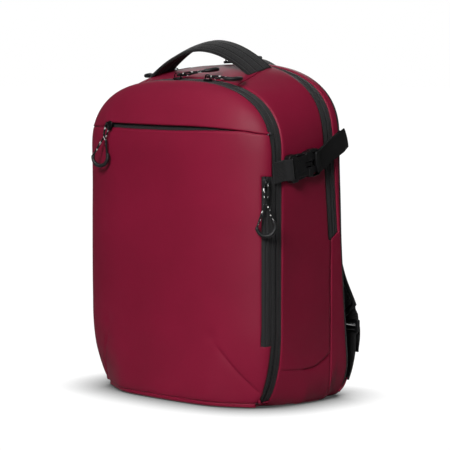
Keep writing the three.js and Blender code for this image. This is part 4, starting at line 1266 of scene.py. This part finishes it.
def make_male_buckle(side, name):
    """A ladder for the webbing with its bar, a middle tongue and two springy arms."""
    place = on_strap(side)
    half = BUCKLE_WIDTH / 2
    start = BUCKLE_LENGTH + 0.3
    root = start + 2
    rim = [(start, -half), (start + 14, -half + 0.6), (start + 14, half - 0.6), (start, half)]
    rim = rounded_outline(rim, [1.5, 3.5, 3.5, 1.5], 5)
    windows = [[(start + 1.8, d * 3.0), (start + 1.8, d * 11.6), (start + 7.2, d * 7.6)] for d in (1, -1)]
    windows = [rounded_outline(window, 1.0, 3) for window in windows]
    gap = rounded_outline(rectangle(start + 9.8, start + 12, -half + 4, half - 4), 0.8, 3)
    parts = [moulded("male_ladder", [rim, *windows, gap], 0.6, BUCKLE_THICK - 1.4, 1.0, place)]
    turns = np.linspace(0, 2 * math.pi, 25)[:-1]
    bar = [(start + 8.6 + 2.6 * math.cos(a), (half - 4.2) * math.sin(a)) for a in turns]
    parts.append(moulded("male_bar", [bar], BUCKLE_THICK - 3.2, BUCKLE_THICK + 1.0, 1.2, place))
    tongue = rounded_outline(rectangle(15, root, -2.6, 2.6), 1.0, 3)
    parts.append(moulded("male_tongue", [tongue], 2.8, BUCKLE_THICK - 2.4, 0.8, place))
    for d in (1, -1):
        arm = [(root, d * 8), (root, d * 12), (31, d * 12.4), (26, d * 14.6), (17, d * 15.4),
               (15, d * 13.2), (24, d * 11.4), (31, d * 9)]
        arm = rounded_outline(arm[::d], 0.9, 3)
        parts.append(moulded("male_arm", [arm], 2.6, BUCKLE_THICK - 2.2, 0.8, place))
    piece = joined(f"buckle_male_{name}_moulding", parts, PLASTIC)
    settle(piece, f"strap_clip_{name}", f"buckle_male_{name}", slot="black_plastic")


def strap_direction(side):
    """The direction across a compression strap."""
    place = on_strap(side)
    return np.array(place(0, 1, 0)) - np.array(place(0, 0, 0))


def make_patch(side, name):
    """Webbing sewn to the side, which loops through the female buckle's slot."""
    path = [(-21, 0, 1.5), (-14, 0, 1.9), (-6, 0, 2.0), (-2.4, 0, 3.4), (-0.6, 0, 7.2),
            (1.4, 0, 9.7), (3.6, 0, 9.6), (5.2, 0, 7.6), (5.6, 0, 4.6)]
    path = [on_strap(side)(*point) for point in path]
    node = f"compression_patch_{name}"
    band(f"{node}_webbing", path, strap_direction(side), 1.9, "body", (node,), step=1.4)


def make_strap(side, name):
    """The compression strap's webbing behind the male buckle, and its loose tail."""
    clip, across = f"strap_clip_{name}", strap_direction(side)
    start = BUCKLE_LENGTH + 17
    path = [(-7.2, 0, 2.2), (-3, 0, 3.2), (2, 0.2, 2.9), (12, 2.5, 2.0), (30, 9, 1.8), (48, 16, 1.8)]
    path = [on_strap(side)(start + x, y, z) for x, y, z in path]
    node = f"compression_webbing_{name}"
    # The strip and the tail take the darker copy of the webbing, which has painted shade in its colour.
    band(f"{node}_strip", path, across, 1.6, clip, (node,), PAINTED_SHADE_WEBBING)
    path = [(-7.0, 0, 5.6), (-5.6, 0, 8.6), (-2.5, 0.2, 8.4), (4, 1.4, 6.4), (22, 8, 5.6),
            (35, 13.4, 7.6), (48, 18.8, 10.4)]
    path = [on_strap(side)(start + x, y, z) for x, y, z in path]
    node = f"compression_tail_{name}"
    piece = band(f"{node}_strip", path, across, 1.6, material=PAINTED_SHADE_WEBBING, step=1.6)
    slant_end(piece, side)
    settle(piece, clip, node, slot="webbing")


def slant_end(piece, side):
    """Cuts the loose end of a tail slantwise."""
    origin = Vector(on_strap(side)(0, 0, 0)) * MM
    along, across = Vector(STRAP_ALONG), Vector(strap_direction(side))
    reach = max((v.co - origin).dot(along) for v in piece.data.vertices)
    for vertex in piece.data.vertices:
        local = vertex.co - origin
        near = max(0.0, 1 - (reach - local.dot(along)) / 0.012)
        vertex.co -= along * near * max(0.0, (32 - local.dot(across) / MM) * 0.3) * MM


# ---------------------------------------------------------------- zip sliders and cord pulls
PULL_REACH, PULL_RADIUS, CORD_RADIUS = 40.0, 10.5, 1.25


def pull_frame(name):
    """Eye (mm) and axes of a slider: x along the hanging pull, y its hinge, z away from the bag."""
    joint = JOINTS[f"{name}_pull_lift"]
    eye = np.array(joint["pos_m"], float) / MM
    y = -np.array(joint["axis"], float)
    low, high = box_mm(f"{name}_pull_grip")
    x = (low + high) / 2 - eye
    x = unit(x - y * x.dot(y))
    return eye, x, y, np.cross(x, y)


def turned(points, twist):
    """Turns points about the pull's length, gradually from the slider to the grip."""
    points = np.asarray(points, float)
    angle = math.radians(twist) * smooth(4, 24, points[:, 0])
    c, s = np.cos(angle), np.sin(angle)
    y, z = points[:, 1], points[:, 2]
    return np.stack([points[:, 0], c * y - s * z, s * y + c * z], -1)


def on_pull(name, points):
    """Points of a pull's own axes in the object's frame (mm)."""
    eye, x, y, z = pull_frame(name)
    points = np.asarray(points)
    return eye + points[:, :1] * x + points[:, 1:2] * y + points[:, 2:] * z


def strand(sign, end, crossing):
    """One side of the cord's loop, from the slider's eye over the crossing to the grip."""
    return np.array([
        (0.2, -sign * 0.2, 0), (1.2, -sign * 2.0, 0.1), (0.32 * crossing, -sign * 2.5, 0.5 * sign),
        (0.65 * crossing, -sign * 1.8, 1.1 * sign), (crossing, 0.0, 1.5 * sign),
        (1.4 * crossing, sign * 3.4, 0.8 * sign), (end[0] - 3.0, end[1] - sign * 1.4, 0), tuple(end),
    ])


def make_cord_and_grip(name, twist, lopsided, reach=PULL_REACH, crossing=14.0):
    """A loop of braided cord that crosses itself once, ending in a moulded rubber U with collars."""
    y, z = pull_frame(name)[2:]
    angles = np.linspace(-math.pi / 2 - 0.35, math.pi / 2 + 0.35, 27) + lopsided / PULL_RADIUS * 0.5
    arc = np.array([(reach + PULL_RADIUS * math.cos(a), PULL_RADIUS * math.sin(a), 0) for a in angles])
    left, right = strand(-1, arc[0], crossing), strand(1, arc[-1], crossing)
    loop = np.concatenate([left[::-1][:-1], [(0.0, 0, 0)], right[1:]])
    centre = on_pull(name, smooth_path(turned(loop, twist), 1.0))
    cord = sweep(f"{name}_cord", centre, z + 0.35 * y, round_profile(CORD_RADIUS), CORD)
    settle(cord, f"{name}_pull", f"{name}_pull_cord", slot="cord")

    centre = on_pull(name, smooth_path(turned(arc, twist), 1.0))
    run = np.linspace(0, 1, len(centre))
    swell = 1.75 + 0.65 * np.sin(run * math.pi) ** 0.5
    collars = sum(0.25 * np.exp(-(((run - place) / 0.02) ** 2)) for place in (0.06, 0.94))
    profile = np.array([round_profile(radius, 16) for radius in swell + collars])
    grip = sweep(f"{name}_grip", centre, z, profile, RUBBER)
    settle(grip, f"{name}_pull", f"{name}_pull_grip", slot="grip_rubber")


def make_slider(name):
    """The zip slider: a plate over the teeth, a foot under it and the bail that holds the cord."""
    eye, x, y, z = pull_frame(name)

    def place(px, py, pz):
        return tuple(eye + px * x + py * y + (pz - 4.8) * z)
    plate = rounded_outline([(-5.5, -2.6), (-2.0, -4.25), (3.0, -4.25), (5.5, -3.2), (5.5, 3.2),
                             (3.0, 4.25), (-2.0, 4.25), (-5.5, 2.6)], 1.2, 4)
    foot = rounded_outline(rectangle(-4.4, 4.4, -3.9, 3.9), 1.2, 3)
    bail = [(-3.6, 0, 2.2), (-3.5, 0, 5.0), (-2.6, 0, 6.9), (0, 0, 7.6), (2.6, 0, 6.9), (3.5, 0, 5.0),
            (3.6, 0, 2.2)]
    bail = smooth_path([place(*point) for point in bail], 1.0)
    oval = round_profile(1.0) * (0.62, 1.2)
    parts = [moulded("slider_plate", [plate], 0.7, 2.6, 0.6, place),
             moulded("slider_foot", [foot], -0.4, 1.0, 0.4, place),
             sweep("slider_bail", bail, -np.cross(x, z), oval[:, ::-1], METAL)]
    piece = joined(f"{name}_slider_casting", parts, METAL)
    shade_smooth(piece)
    settle(piece, f"{name}_slider", f"{name}_slider", slot="slider_metal")


# ---------------------------------------------------------------- padded pieces
CLOTH_FRAMES = 20


def padded(name, corners, faces, cap, voxel=4.5, pressure=4.0):
    """Blows a closed stand-in up like sewn foam: cloth under pressure, its travel held within cap (mm)."""
    piece = mesh_object(name, corners, faces)
    remesh = piece.modifiers.new("even", "REMESH")
    remesh.mode = "VOXEL"
    remesh.voxel_size = voxel * MM
    apply_all(piece)
    rest = vertex_places(piece)
    cloth = piece.modifiers.new("cloth", "CLOTH")
    cloth.settings.quality = 4
    cloth.settings.mass = 0.15
    cloth.settings.tension_stiffness = 22
    cloth.settings.compression_stiffness = 22
    cloth.settings.shear_stiffness = 12
    cloth.settings.bending_stiffness = 0.4
    cloth.settings.use_pressure = True
    cloth.settings.uniform_pressure_force = pressure
    cloth.settings.effector_weights.gravity = 0
    cloth.point_cache.frame_start = 1
    cloth.point_cache.frame_end = CLOTH_FRAMES
    for number in range(1, CLOTH_FRAMES + 1):
        bpy.context.scene.frame_set(number)
    apply_all(piece)
    travel = vertex_places(piece) - rest
    length = np.linalg.norm(travel, axis=1, keepdims=True)
    limit = cap * MM
    travel = travel * np.where(length > limit, limit / np.maximum(length, 1e-12), 1.0)
    piece.data.vertices.foreach_set("co", (rest + travel).ravel())
    bpy.context.scene.frame_set(1)
    return piece


def smoothed(piece):
    """Evens out the remeshed surface and shades it smooth."""
    relax = piece.modifiers.new("relax", "SMOOTH")
    relax.factor = 0.5
    relax.iterations = 3
    finer = piece.modifiers.new("finer", "SUBSURF")
    finer.levels = 1
    finer.render_levels = 1
    apply_all(piece)
    shade_smooth(piece)
    return piece


def slab(outer, inner):
    """Corners and faces of the closed sheet between two grids of the same shape."""
    rows, columns = outer.shape[:2]
    points = np.concatenate([outer.reshape(-1, 3), inner.reshape(-1, 3)])
    size = rows * columns
    faces = []
    for r in range(rows - 1):
        for c in range(columns - 1):
            a, b = r * columns + c, r * columns + c + 1
            d, e = b + columns, a + columns
            faces += [(a, b, d, e), (size + a, size + e, size + d, size + b)]
    for c in range(columns - 1):
        low, high = c, (rows - 1) * columns + c
        faces += [(low, size + low, size + low + 1, low + 1), (high, high + 1, size + high + 1, size + high)]
    for r in range(rows - 1):
        low, high = r * columns, r * columns + columns - 1
        faces += [(low, low + columns, size + low + columns, size + low),
                  (high, size + high, size + high + columns, high + columns)]
    return points, faces


def mirrored(piece, name):
    """The left-hand twin of a right-hand piece."""
    mesh = piece.data.copy()
    mesh.transform(Matrix.Diagonal((-1, 1, 1, 1)))
    mesh.flip_normals()
    return linked(name, mesh)


def dressed(piece, material):
    """Gives the piece one material in place of what it has."""
    piece.data.materials.clear()
    piece.data.materials.append(material)
    return piece


# ---------------------------------------------------------------- shoulder straps
STRAP_PATH = np.array([[52, 74, 372], [56, 81, 352], [64, 88, 315], [70, 93, 270], [75, 97, 220],
                       [82, 100, 175], [98, 102, 132], [121, 101, 98]], float)
STRAP_WIDTHS = np.array([58, 60, 62, 62, 60, 52, 42, 34], float)
STRAP_THICK = 10.0
LOCK_LOW, LOCK_HIGH = box_mm("ladder_lock_right")
BACK_SWELL = 14.0


def blend_harness(piece):
    """Bakes the piece's placement into its mesh."""
    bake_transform(piece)


def strap_lines():
    """Centre line, widths and upward normals of the right shoulder strap, finely sampled."""
    centre = smooth_path(STRAP_PATH, 4.0)
    marks = np.linalg.norm(np.diff(STRAP_PATH, axis=0), axis=1).cumsum()
    marks = np.concatenate([[0], marks]) / marks[-1]
    run = np.linalg.norm(np.diff(centre, axis=0), axis=1).cumsum()
    run = np.concatenate([[0], run]) / run[-1]
    widths = np.interp(run, marks, STRAP_WIDTHS)
    along = unit(np.gradient(centre, axis=0))
    wide = np.tile([1.0, 0, 0], (len(centre), 1))
    wide = unit(wide - along * (wide * along).sum(-1, keepdims=True))
    up = np.cross(along, wide)
    up = up * np.sign(up[:, 1:2])
    return centre, widths, wide, up


def make_shoulder_straps():
    """Two foam straps blown up as cloth, each with a sewn binding and webbing down its middle."""
    centre, widths, wide, up = strap_lines()
    shares = np.linspace(-0.5, 0.5, 9)
    offset = (shares[None, :, None] * (widths[:, None, None] - 3)) * wide[:, None]
    half = STRAP_THICK / 2 - 2.2
    outer = centre[:, None] + offset + up[:, None] * half
    inner = centre[:, None] + offset - up[:, None] * half
    pad = padded("shoulder_strap_right_padding", *slab(outer, inner), cap=5.0, voxel=4.2, pressure=3.0)
    dressed(smoothed(pad), MESH)
    twin = mirrored(pad, "shoulder_strap_left_padding")
    for (side, name), piece in zip(SIDES, (pad, twin)):
        blend_harness(piece)
        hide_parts(f"shoulder_strap_{name}")
        flip = np.array([side, 1, 1])
        make_binding(centre * flip, widths, wide * flip, up * flip, name)
        lock_x = LOCK_LOW[0] + 17
        path = [centre[i] + up[i] * (STRAP_THICK / 2 + 1.6) for i in range(12, len(centre) - 3, 4)]
        path += [centre[-1] + up[-1] * 3.0 + (1.5, 0, -3),
                 (lock_x, LOCK_HIGH[1] + 1.2, LOCK_HIGH[2] + 1),
                 (lock_x, LOCK_HIGH[1] + 0.6, LOCK_HIGH[2] - 2.4),
                 (lock_x, LOCK_LOW[1] + 2.0, LOCK_HIGH[2] - 4.6)]
        band(f"shoulder_strap_{name}_webbing", np.array(path) * flip, (1, 0, 0), 1.6,
             f"shoulder_harness_{name}")


def make_binding(centre, widths, wide, up, name):
    """Binding tape sewn round a strap's edge."""
    left = centre - wide * widths[:, None] / 2
    right = centre + wide * widths[:, None] / 2
    onward = unit(centre[-1] - centre[-2]) * 1.2
    turn = [centre[-1] + wide[-1] * widths[-1] / 2 * share + onward * (1 - share * share) * 3
            for share in (0.6, 0.2, -0.2, -0.6)]
    loop = np.vstack([right, turn, left[::-1]])
    normals = np.vstack([up, np.tile(up[-1], (4, 1)), up[::-1]])
    piece = sweep(f"shoulder_strap_{name}_binding", loop, normals, round_profile(1.0) * (3.3, 1.5), WEBBING)
    blend_harness(piece)


def make_ladder_locks():
    """Moulded ladder locks: a plate with two slots and a lever at its lower end."""
    x0, x1 = LOCK_LOW[0], LOCK_HIGH[0]
    z0, z1 = LOCK_LOW[2], LOCK_HIGH[2]
    body = [(x0, z0 + 2), (x0 + 3, z0), (x1 - 3, z0), (x1, z0 + 2), (x1, z1), (x0, z1)]
    slots = [rectangle(x0 + 4, x1 - 4, z - 1.8, z + 1.8) for z in (z0 + 5.2, z1 - 5.2)]
    outlines = [rounded_outline(body, 1.6, 4)] + [rounded_outline(slot, 0.8, 3) for slot in slots]
    lip = [(x0 + 5, z0 - 2.4), (x1 - 5, z0 - 2.4), (x1 - 3, z0 + 1.4), (x0 + 3, z0 + 1.4)]
    lip = rounded_outline(lip, 1.2, 4)
    for side, name in SIDES:
        def place(x, z, y, side=side):
            return (side * x, LOCK_LOW[1] + y, z)
        plate = moulded("lock_plate", outlines, 0.6, 5.4, 1.0, place)
        lever = moulded("lock_lip", [lip], 3.0, 6.8, 0.9, place)
        piece = joined(f"ladder_lock_{name}_moulding", [plate, lever], PLASTIC)
        settle(piece, f"shoulder_harness_{name}", f"ladder_lock_{name}", slot="black_plastic")


def make_lower_webbing():
    """The webbing between the base and each ladder lock, its loose tail and the tab it is sewn to."""
    rear, low = LOCK_HIGH[1], LOCK_LOW[2]
    strip = [(127, rear + 1.4, low + 8), (127, rear + 1.0, low + 5), (127.5, 98, low + 1),
             (129, 96.5, 66), (131, 93, 50), (132, 87, 33), (132.5, 80, 19)]
    tail = [(127, rear + 3.0, low + 9), (127, rear + 4.4, low + 4), (127.5, rear + 3.6, 66),
            (127.5, rear + 1.8, 56), (127.5, rear + 1.2, 50)]
    tab = [(131, 79.5, 23), (130, 75, 14), (128, 70, 8)]
    across = (1, 0, 0)
    for side, name in SIDES:
        flip = np.array([side, 1, 1])
        piece = band(f"lower_webbing_{name}_strip", strip * flip, across, 1.6)
        blend_harness(piece)
        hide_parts(f"lower_webbing_{name}")
        band(f"lower_webbing_{name}_tail", tail * flip, across, 1.6, f"shoulder_harness_{name}")
        band(f"lower_webbing_{name}_anchor", tab * flip, across, 3.0, "body", material=FABRIC, step=1.5)


# ---------------------------------------------------------------- back
def back_face(z):
    """Depth of the back panel's swollen face."""
    return rear_edge(z) + BACK_SWELL


def make_back_panel():
    """Air mesh panel swollen behind the rear edge, drawn as rings from the rim to the middle."""
    stretches = [np.linspace(start, start + 1, count)[1:] for start, count in ((1, 24), (2, 18), (3, 20))]
    s = np.concatenate([np.linspace(0, 1, 40), *stretches])
    s = np.concatenate([s, -s[::-1][1:-1]])
    near_rim = [0, 0.002, 0.005, 0.01, 0.018, 0.03, 0.05, 0.075, 0.105, 0.14]
    r = 1 - np.concatenate([near_rim, np.linspace(0.18, 0.965, 24)])
    rim = surface(s, REAR_PLANE)
    middle = 190.0
    reach = np.hypot(rim[:, 0], rim[:, 2] - middle)
    x = r[:, None] * rim[None, :, 0]
    z = middle + r[:, None] * (rim[None, :, 2] - middle)
    near = np.clip((1 - r)[:, None] * reach[None] / 60, 0, 1)
    swell = 12 * np.sqrt(1 - (1 - near) ** 2) + 2 * (1 - r[:, None] ** 2)
    spine = 2.2 * np.exp(-((x / 9) ** 2)) * smooth(40, 70, z) * smooth(350, 320, z)
    y = rear_edge(z) + swell - spine
    grid = np.stack([x, y, z], -1)
    grid[..., 1] -= wobble(grid, 60.0, 0.8, 31.0)
    piece = grid_object("back_panel_mesh", grid, (MESH, LINING), closed=True)
    work = bmesh.new()
    work.from_mesh(piece.data)
    work.verts.ensure_lookup_table()
    last = [work.verts[(len(r) - 1) * len(s) + i] for i in range(len(s))]
    work.faces.new(last)
    work.to_mesh(piece.data)
    work.free()
    thicken(piece, 3.0, REARWARD, 1)
    settle(piece, "body", "back_panel", slot="air_mesh")


def make_back_pads():
    """Two foam pads with three sewn cells each, blown up as cloth."""
    low, high = box_mm("back_pad_right")
    z = np.linspace(low[2] + 2, high[2] - 2, 55)
    x = np.linspace(low[0] + 2, high[0] - 2, 15)
    zz, xx = np.meshgrid(z, x, indexing="ij")
    inner = np.stack([xx, back_face(zz) + 0.4, zz], -1)
    outer = np.stack([xx, back_face(zz) + 4.4, zz], -1)
    pad = padded("back_pad_right_padding", *slab(outer, inner), cap=5.0, voxel=4.5, pressure=4.0)
    smoothed(pad)
    points = vertex_places(pad) / MM
    behind = np.clip((points[:, 1] - back_face(points[:, 2]) - 1.5) / 3.0, 0, 1)
    span = (high[2] - low[2]) / 3
    for line in (low[2] + span, low[2] + 2 * span):
        points[:, 1] -= 3.0 * behind * np.exp(-(((points[:, 2] - line) / 5) ** 2))
    points[:, 1] = np.maximum(points[:, 1], back_face(points[:, 2]) - 1.0)
    pad.data.vertices.foreach_set("co", (points * MM).ravel())
    dressed(pad, MESH)
    twin = mirrored(pad, "back_pad_left_padding")
    settle(pad, "body", "back_pad_right", slot="air_mesh")
    settle(twin, "body", "back_pad_left", slot="air_mesh")


def make_luggage_sleeve():
    """A fabric band sewn across the back, with hemmed upper and lower edges."""
    low, high = box_mm("luggage_sleeve")
    x = np.linspace(low[0], high[0], 110)
    hem_rows = np.array([0, 0.6, 1.6])
    between = np.linspace(low[2] + 5, high[2] - 5, 16)
    z = np.concatenate([low[2] + hem_rows, between, high[2] - hem_rows[::-1]])
    zz, xx = np.meshgrid(z, x, indexing="ij")
    hem = 0.8 * (smooth(low[2] + 11, low[2] + 9, zz) + smooth(high[2] - 11, high[2] - 9, zz))
    y = back_face(zz) + 8 + 1.9 + hem + 0.5 * np.sin(zz * 0.3 + xx * 0.05)
    y = y - 5.5 * smooth(100, 108, np.abs(xx)) - 1.5 * np.exp(-((xx / 14) ** 2))
    grid = np.stack([xx, y, zz], -1)
    shell("luggage_sleeve_fabric", grid, "bag_fabric", 1.8, REARWARD, "body", "luggage_sleeve", lined=True)


# ---------------------------------------------------------------- inside of the flap
def board_cloth(node, depth, inset, foot_x, foot_z):
    """A board's box, points over its face inside the bag's outline, and their distance from its sides."""
    low, high = box_mm(node)
    s = np.concatenate([np.linspace(0, 1, 40), np.linspace(1, 1.9, 20)[1:]])
    foot = [[high[0] - 6, 0, low[2] + foot_z], [high[0] - foot_x, 0, low[2]]]
    rim = np.vstack([surface(s, depth, inset), foot])
    z = np.linspace(low[2], high[2] - 0.5, 70)
    order = np.argsort(rim[:, 2])
    half = np.interp(z, rim[order, 2], rim[order, 0])[:, None]
    t = cluster(61, 1.6) * 2 - 1
    zz = np.repeat(z[:, None], len(t), 1)
    return low, high, half * t, zz, (1 - np.abs(t)) * half


def make_flap_lining():
    """The lining's face follows its board, with a soft quilt and a turned edge."""
    _, high, x, z, from_side = board_cloth("flap_lining", ZIP_FRONT, 8.0, 22, 26)
    quilt = 0.5 * np.sin(x * 0.12) * np.sin(z * 0.12)
    edge = np.clip(1 - from_side / 3.0, 0, 1)
    y = high[1] - 0.2 + quilt * (1 - edge) - 1.2 * edge ** 2
    grid = np.stack([x, y, z], -1)
    shell("flap_lining_cloth", grid, "lining", 1.8, REARWARD, "front_flap", "flap_lining")


def make_divider():
    """The cloth-covered divider behind the front compartment, with a pocket over its lower half."""
    low, _, x, z, _ = board_cloth("divider_panel", MAIN_FRONT, 6.0, 20, 22)
    pocket = 1.6 * smooth(196, 194, z)
    y = low[1] + 0.4 - 0.6 * np.sin(x * 0.04) * np.sin(z * 0.03) - pocket
    grid = np.stack([x, y, z], -1)
    shell("divider_cloth", grid, "lining", 2.6, FORWARD, "body", "divider_panel")


def make_hinge_strip():
    """Fabric from the base's front edge to the flap's lining, which the flap turns on."""
    low, high = box_mm("flap_hinge_strip")
    lining_low = box_mm("flap_lining")[0]
    path = smooth_path([(0, high[1] + 1, high[2] + 1.2), (0, high[1] - 4, high[2] + 0.8),
                        (0, low[1], high[2] - 0.6), (0, -59.0, 3.2), (0, -60.5, 7.0),
                        (0, -60.8, lining_low[2] + 3)], 1.2)
    x = np.linspace(low[0] - 18, high[0] + 18, 120)
    rows = []
    for y, z in path[:, 1:]:
        reach = np.clip(np.abs(x) / half_width_at(max(z, 3.0)), 0, 1)
        inset = 1 - 0.03 * (z < 3.0)
        height = z + 0.25 * np.sin(x * 0.21) + 3.0 * reach ** 12
        rows.append(np.stack([x * inset, np.full(len(x), y), height], -1))
    piece = grid_object("flap_hinge_cloth", np.array(rows), (FABRIC,))
    thicken(piece, 1.2, facing(0, 0.5, 1))
    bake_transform(piece)
    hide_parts("flap_hinge_strip")


# ---------------------------------------------------------------- build
make_walls()
make_boot()
make_rear_wall()
make_arch_zips()
make_upper_panel()
make_lower_panel()
make_front_lip()
make_base_corners()
make_pocket_zip()
make_quick_zip()
make_flap_lining()
make_divider()
make_hinge_strip()
blend_handle(make_handle())
make_hang_loop()
make_yoke()
for strap_side, strap_name in SIDES:
    make_female_buckle(strap_side, strap_name)
    make_male_buckle(strap_side, strap_name)
    make_patch(strap_side, strap_name)
    make_strap(strap_side, strap_name)
make_cord_and_grip("pocket", -20, 8)
make_slider("pocket")
make_cord_and_grip("quick", 0, 7, 50.0, 21.0)
make_slider("quick")
for pull_name in ("front_zip_left", "front_zip_right", "main_zip_left", "main_zip_right"):
    make_cord_and_grip(pull_name, 0, 3)
    make_slider(pull_name)
make_back_panel()
make_back_pads()
make_luggage_sleeve()
make_shoulder_straps()
make_ladder_locks()
make_lower_webbing()


# ---------------------------------------------------------------- studio set
def camera_only(n, seen, other):
    """Mixes two shaders: one as the camera sees it, one for the light that bounces off it."""
    path = n.tree.nodes.new("ShaderNodeLightPath")
    mix = n.tree.nodes.new("ShaderNodeMixShader")
    n.link(path.outputs["Is Camera Ray"], mix.inputs[0])
    n.link(other, mix.inputs[1])
    n.link(seen, mix.inputs[2])
    n.link(mix.outputs[0], n.tree.nodes["Material Output"].inputs["Surface"])


def make_floor():
    """A white floor that glows for the camera, with a painted contact shadow where the bag stands on it."""
    floor_mesh = bpy.data.meshes.new("studio_floor")
    floor_mesh.from_pydata([(-9, -9, 0), (9, -9, 0), (9, 9, 0), (-9, 9, 0)], [], [(0, 1, 2, 3)])
    floor = linked("studio_floor", floor_mesh)
    n = Nodes("studio_white")
    n.finish((0.9, 0.9, 0.9), 0.9, Specular_IOR_Level=0.0)
    # Painted contact shadow: ambient occlusion near the bag dims the floor's glow.
    shade = n.node("ShaderNodeAmbientOcclusion", samples=16)
    shade.inputs["Distance"].default_value = 0.07
    painted_shadow_fade = n.node("ShaderNodeMapRange")
    for label, value in (("From Min", 0.35), ("From Max", 0.96), ("To Min", 0.05), ("To Max", 1.05)):
        painted_shadow_fade.inputs[label].default_value = value
    n.link(shade.outputs["AO"], painted_shadow_fade.inputs["Value"])
    glow = n.node("ShaderNodeEmission")
    n.link(painted_shadow_fade.outputs["Result"], glow.inputs["Strength"])
    dull = n.node("ShaderNodeBsdfDiffuse", Color=(0.40, 0.40, 0.40, 1))
    camera_only(n, glow.outputs[0], dull.outputs[0])
    floor_mesh.materials.append(n.material)
    floor.location = (0, 0, -0.0004)


def make_world():
    """A white surround for the camera that lights the bag only faintly."""
    world = bpy.data.worlds.new("studio")
    world.use_nodes = True
    tree = world.node_tree
    background = tree.nodes["Background"]
    background.inputs["Color"].default_value = (1, 1, 1, 1)
    path = tree.nodes.new("ShaderNodeLightPath")
    level = tree.nodes.new("ShaderNodeMapRange")
    level.inputs["To Min"].default_value = 0.13
    level.inputs["To Max"].default_value = 1.0
    tree.links.new(path.outputs["Is Camera Ray"], level.inputs["Value"])
    tree.links.new(level.outputs["Result"], background.inputs["Strength"])
    bpy.context.scene.world = world


def make_stage():
    """Floor, surround, and lamps: name, place, aim, size (m), power (W) and spread (degrees)."""
    make_floor()
    make_world()
    lamps = (
        ("key", (0.95, -1.95, 1.45), (0.26, -0.08, 0.33), 1.0, 4.3, 34),
        ("top", (-0.4, -0.6, 2.3), (0.0, 0.0, 0.3), 1.2, 4, 180),
        ("rear fill", (-1.5, 1.9, 1.1), (0.0, 0.05, 0.22), 1.4, 16, 180),
    )
    for name, place, aim, size, power, cone in lamps:
        data = bpy.data.lights.new(name, "AREA")
        data.energy = power
        data.size = size
        data.spread = math.radians(cone)
        lamp = linked(name, data)
        lamp.location = place
        lamp.rotation_euler = (Vector(aim) - Vector(place)).to_track_quat("-Z", "Y").to_euler()


def make_camera():
    """The photograph's view: a long lens, slightly above the bag's middle."""
    azimuth, pitch = math.radians(44.2), math.radians(5.3)
    level = math.cos(pitch)
    back = Vector((math.sin(azimuth) * level, -math.cos(azimuth) * level, math.sin(pitch)))
    data = bpy.data.cameras.new("photo_camera")
    data.lens = 181.8
    data.sensor_width = 36
    camera = linked("photo_camera", data)
    camera.location = (1.9271, -1.9667, 0.458)
    camera.rotation_euler = (-back).to_track_quat("-Z", "Y").to_euler()
    bpy.context.scene.camera = camera


make_stage()
make_camera()
bpy.context.scene.view_settings.view_transform = "Standard"
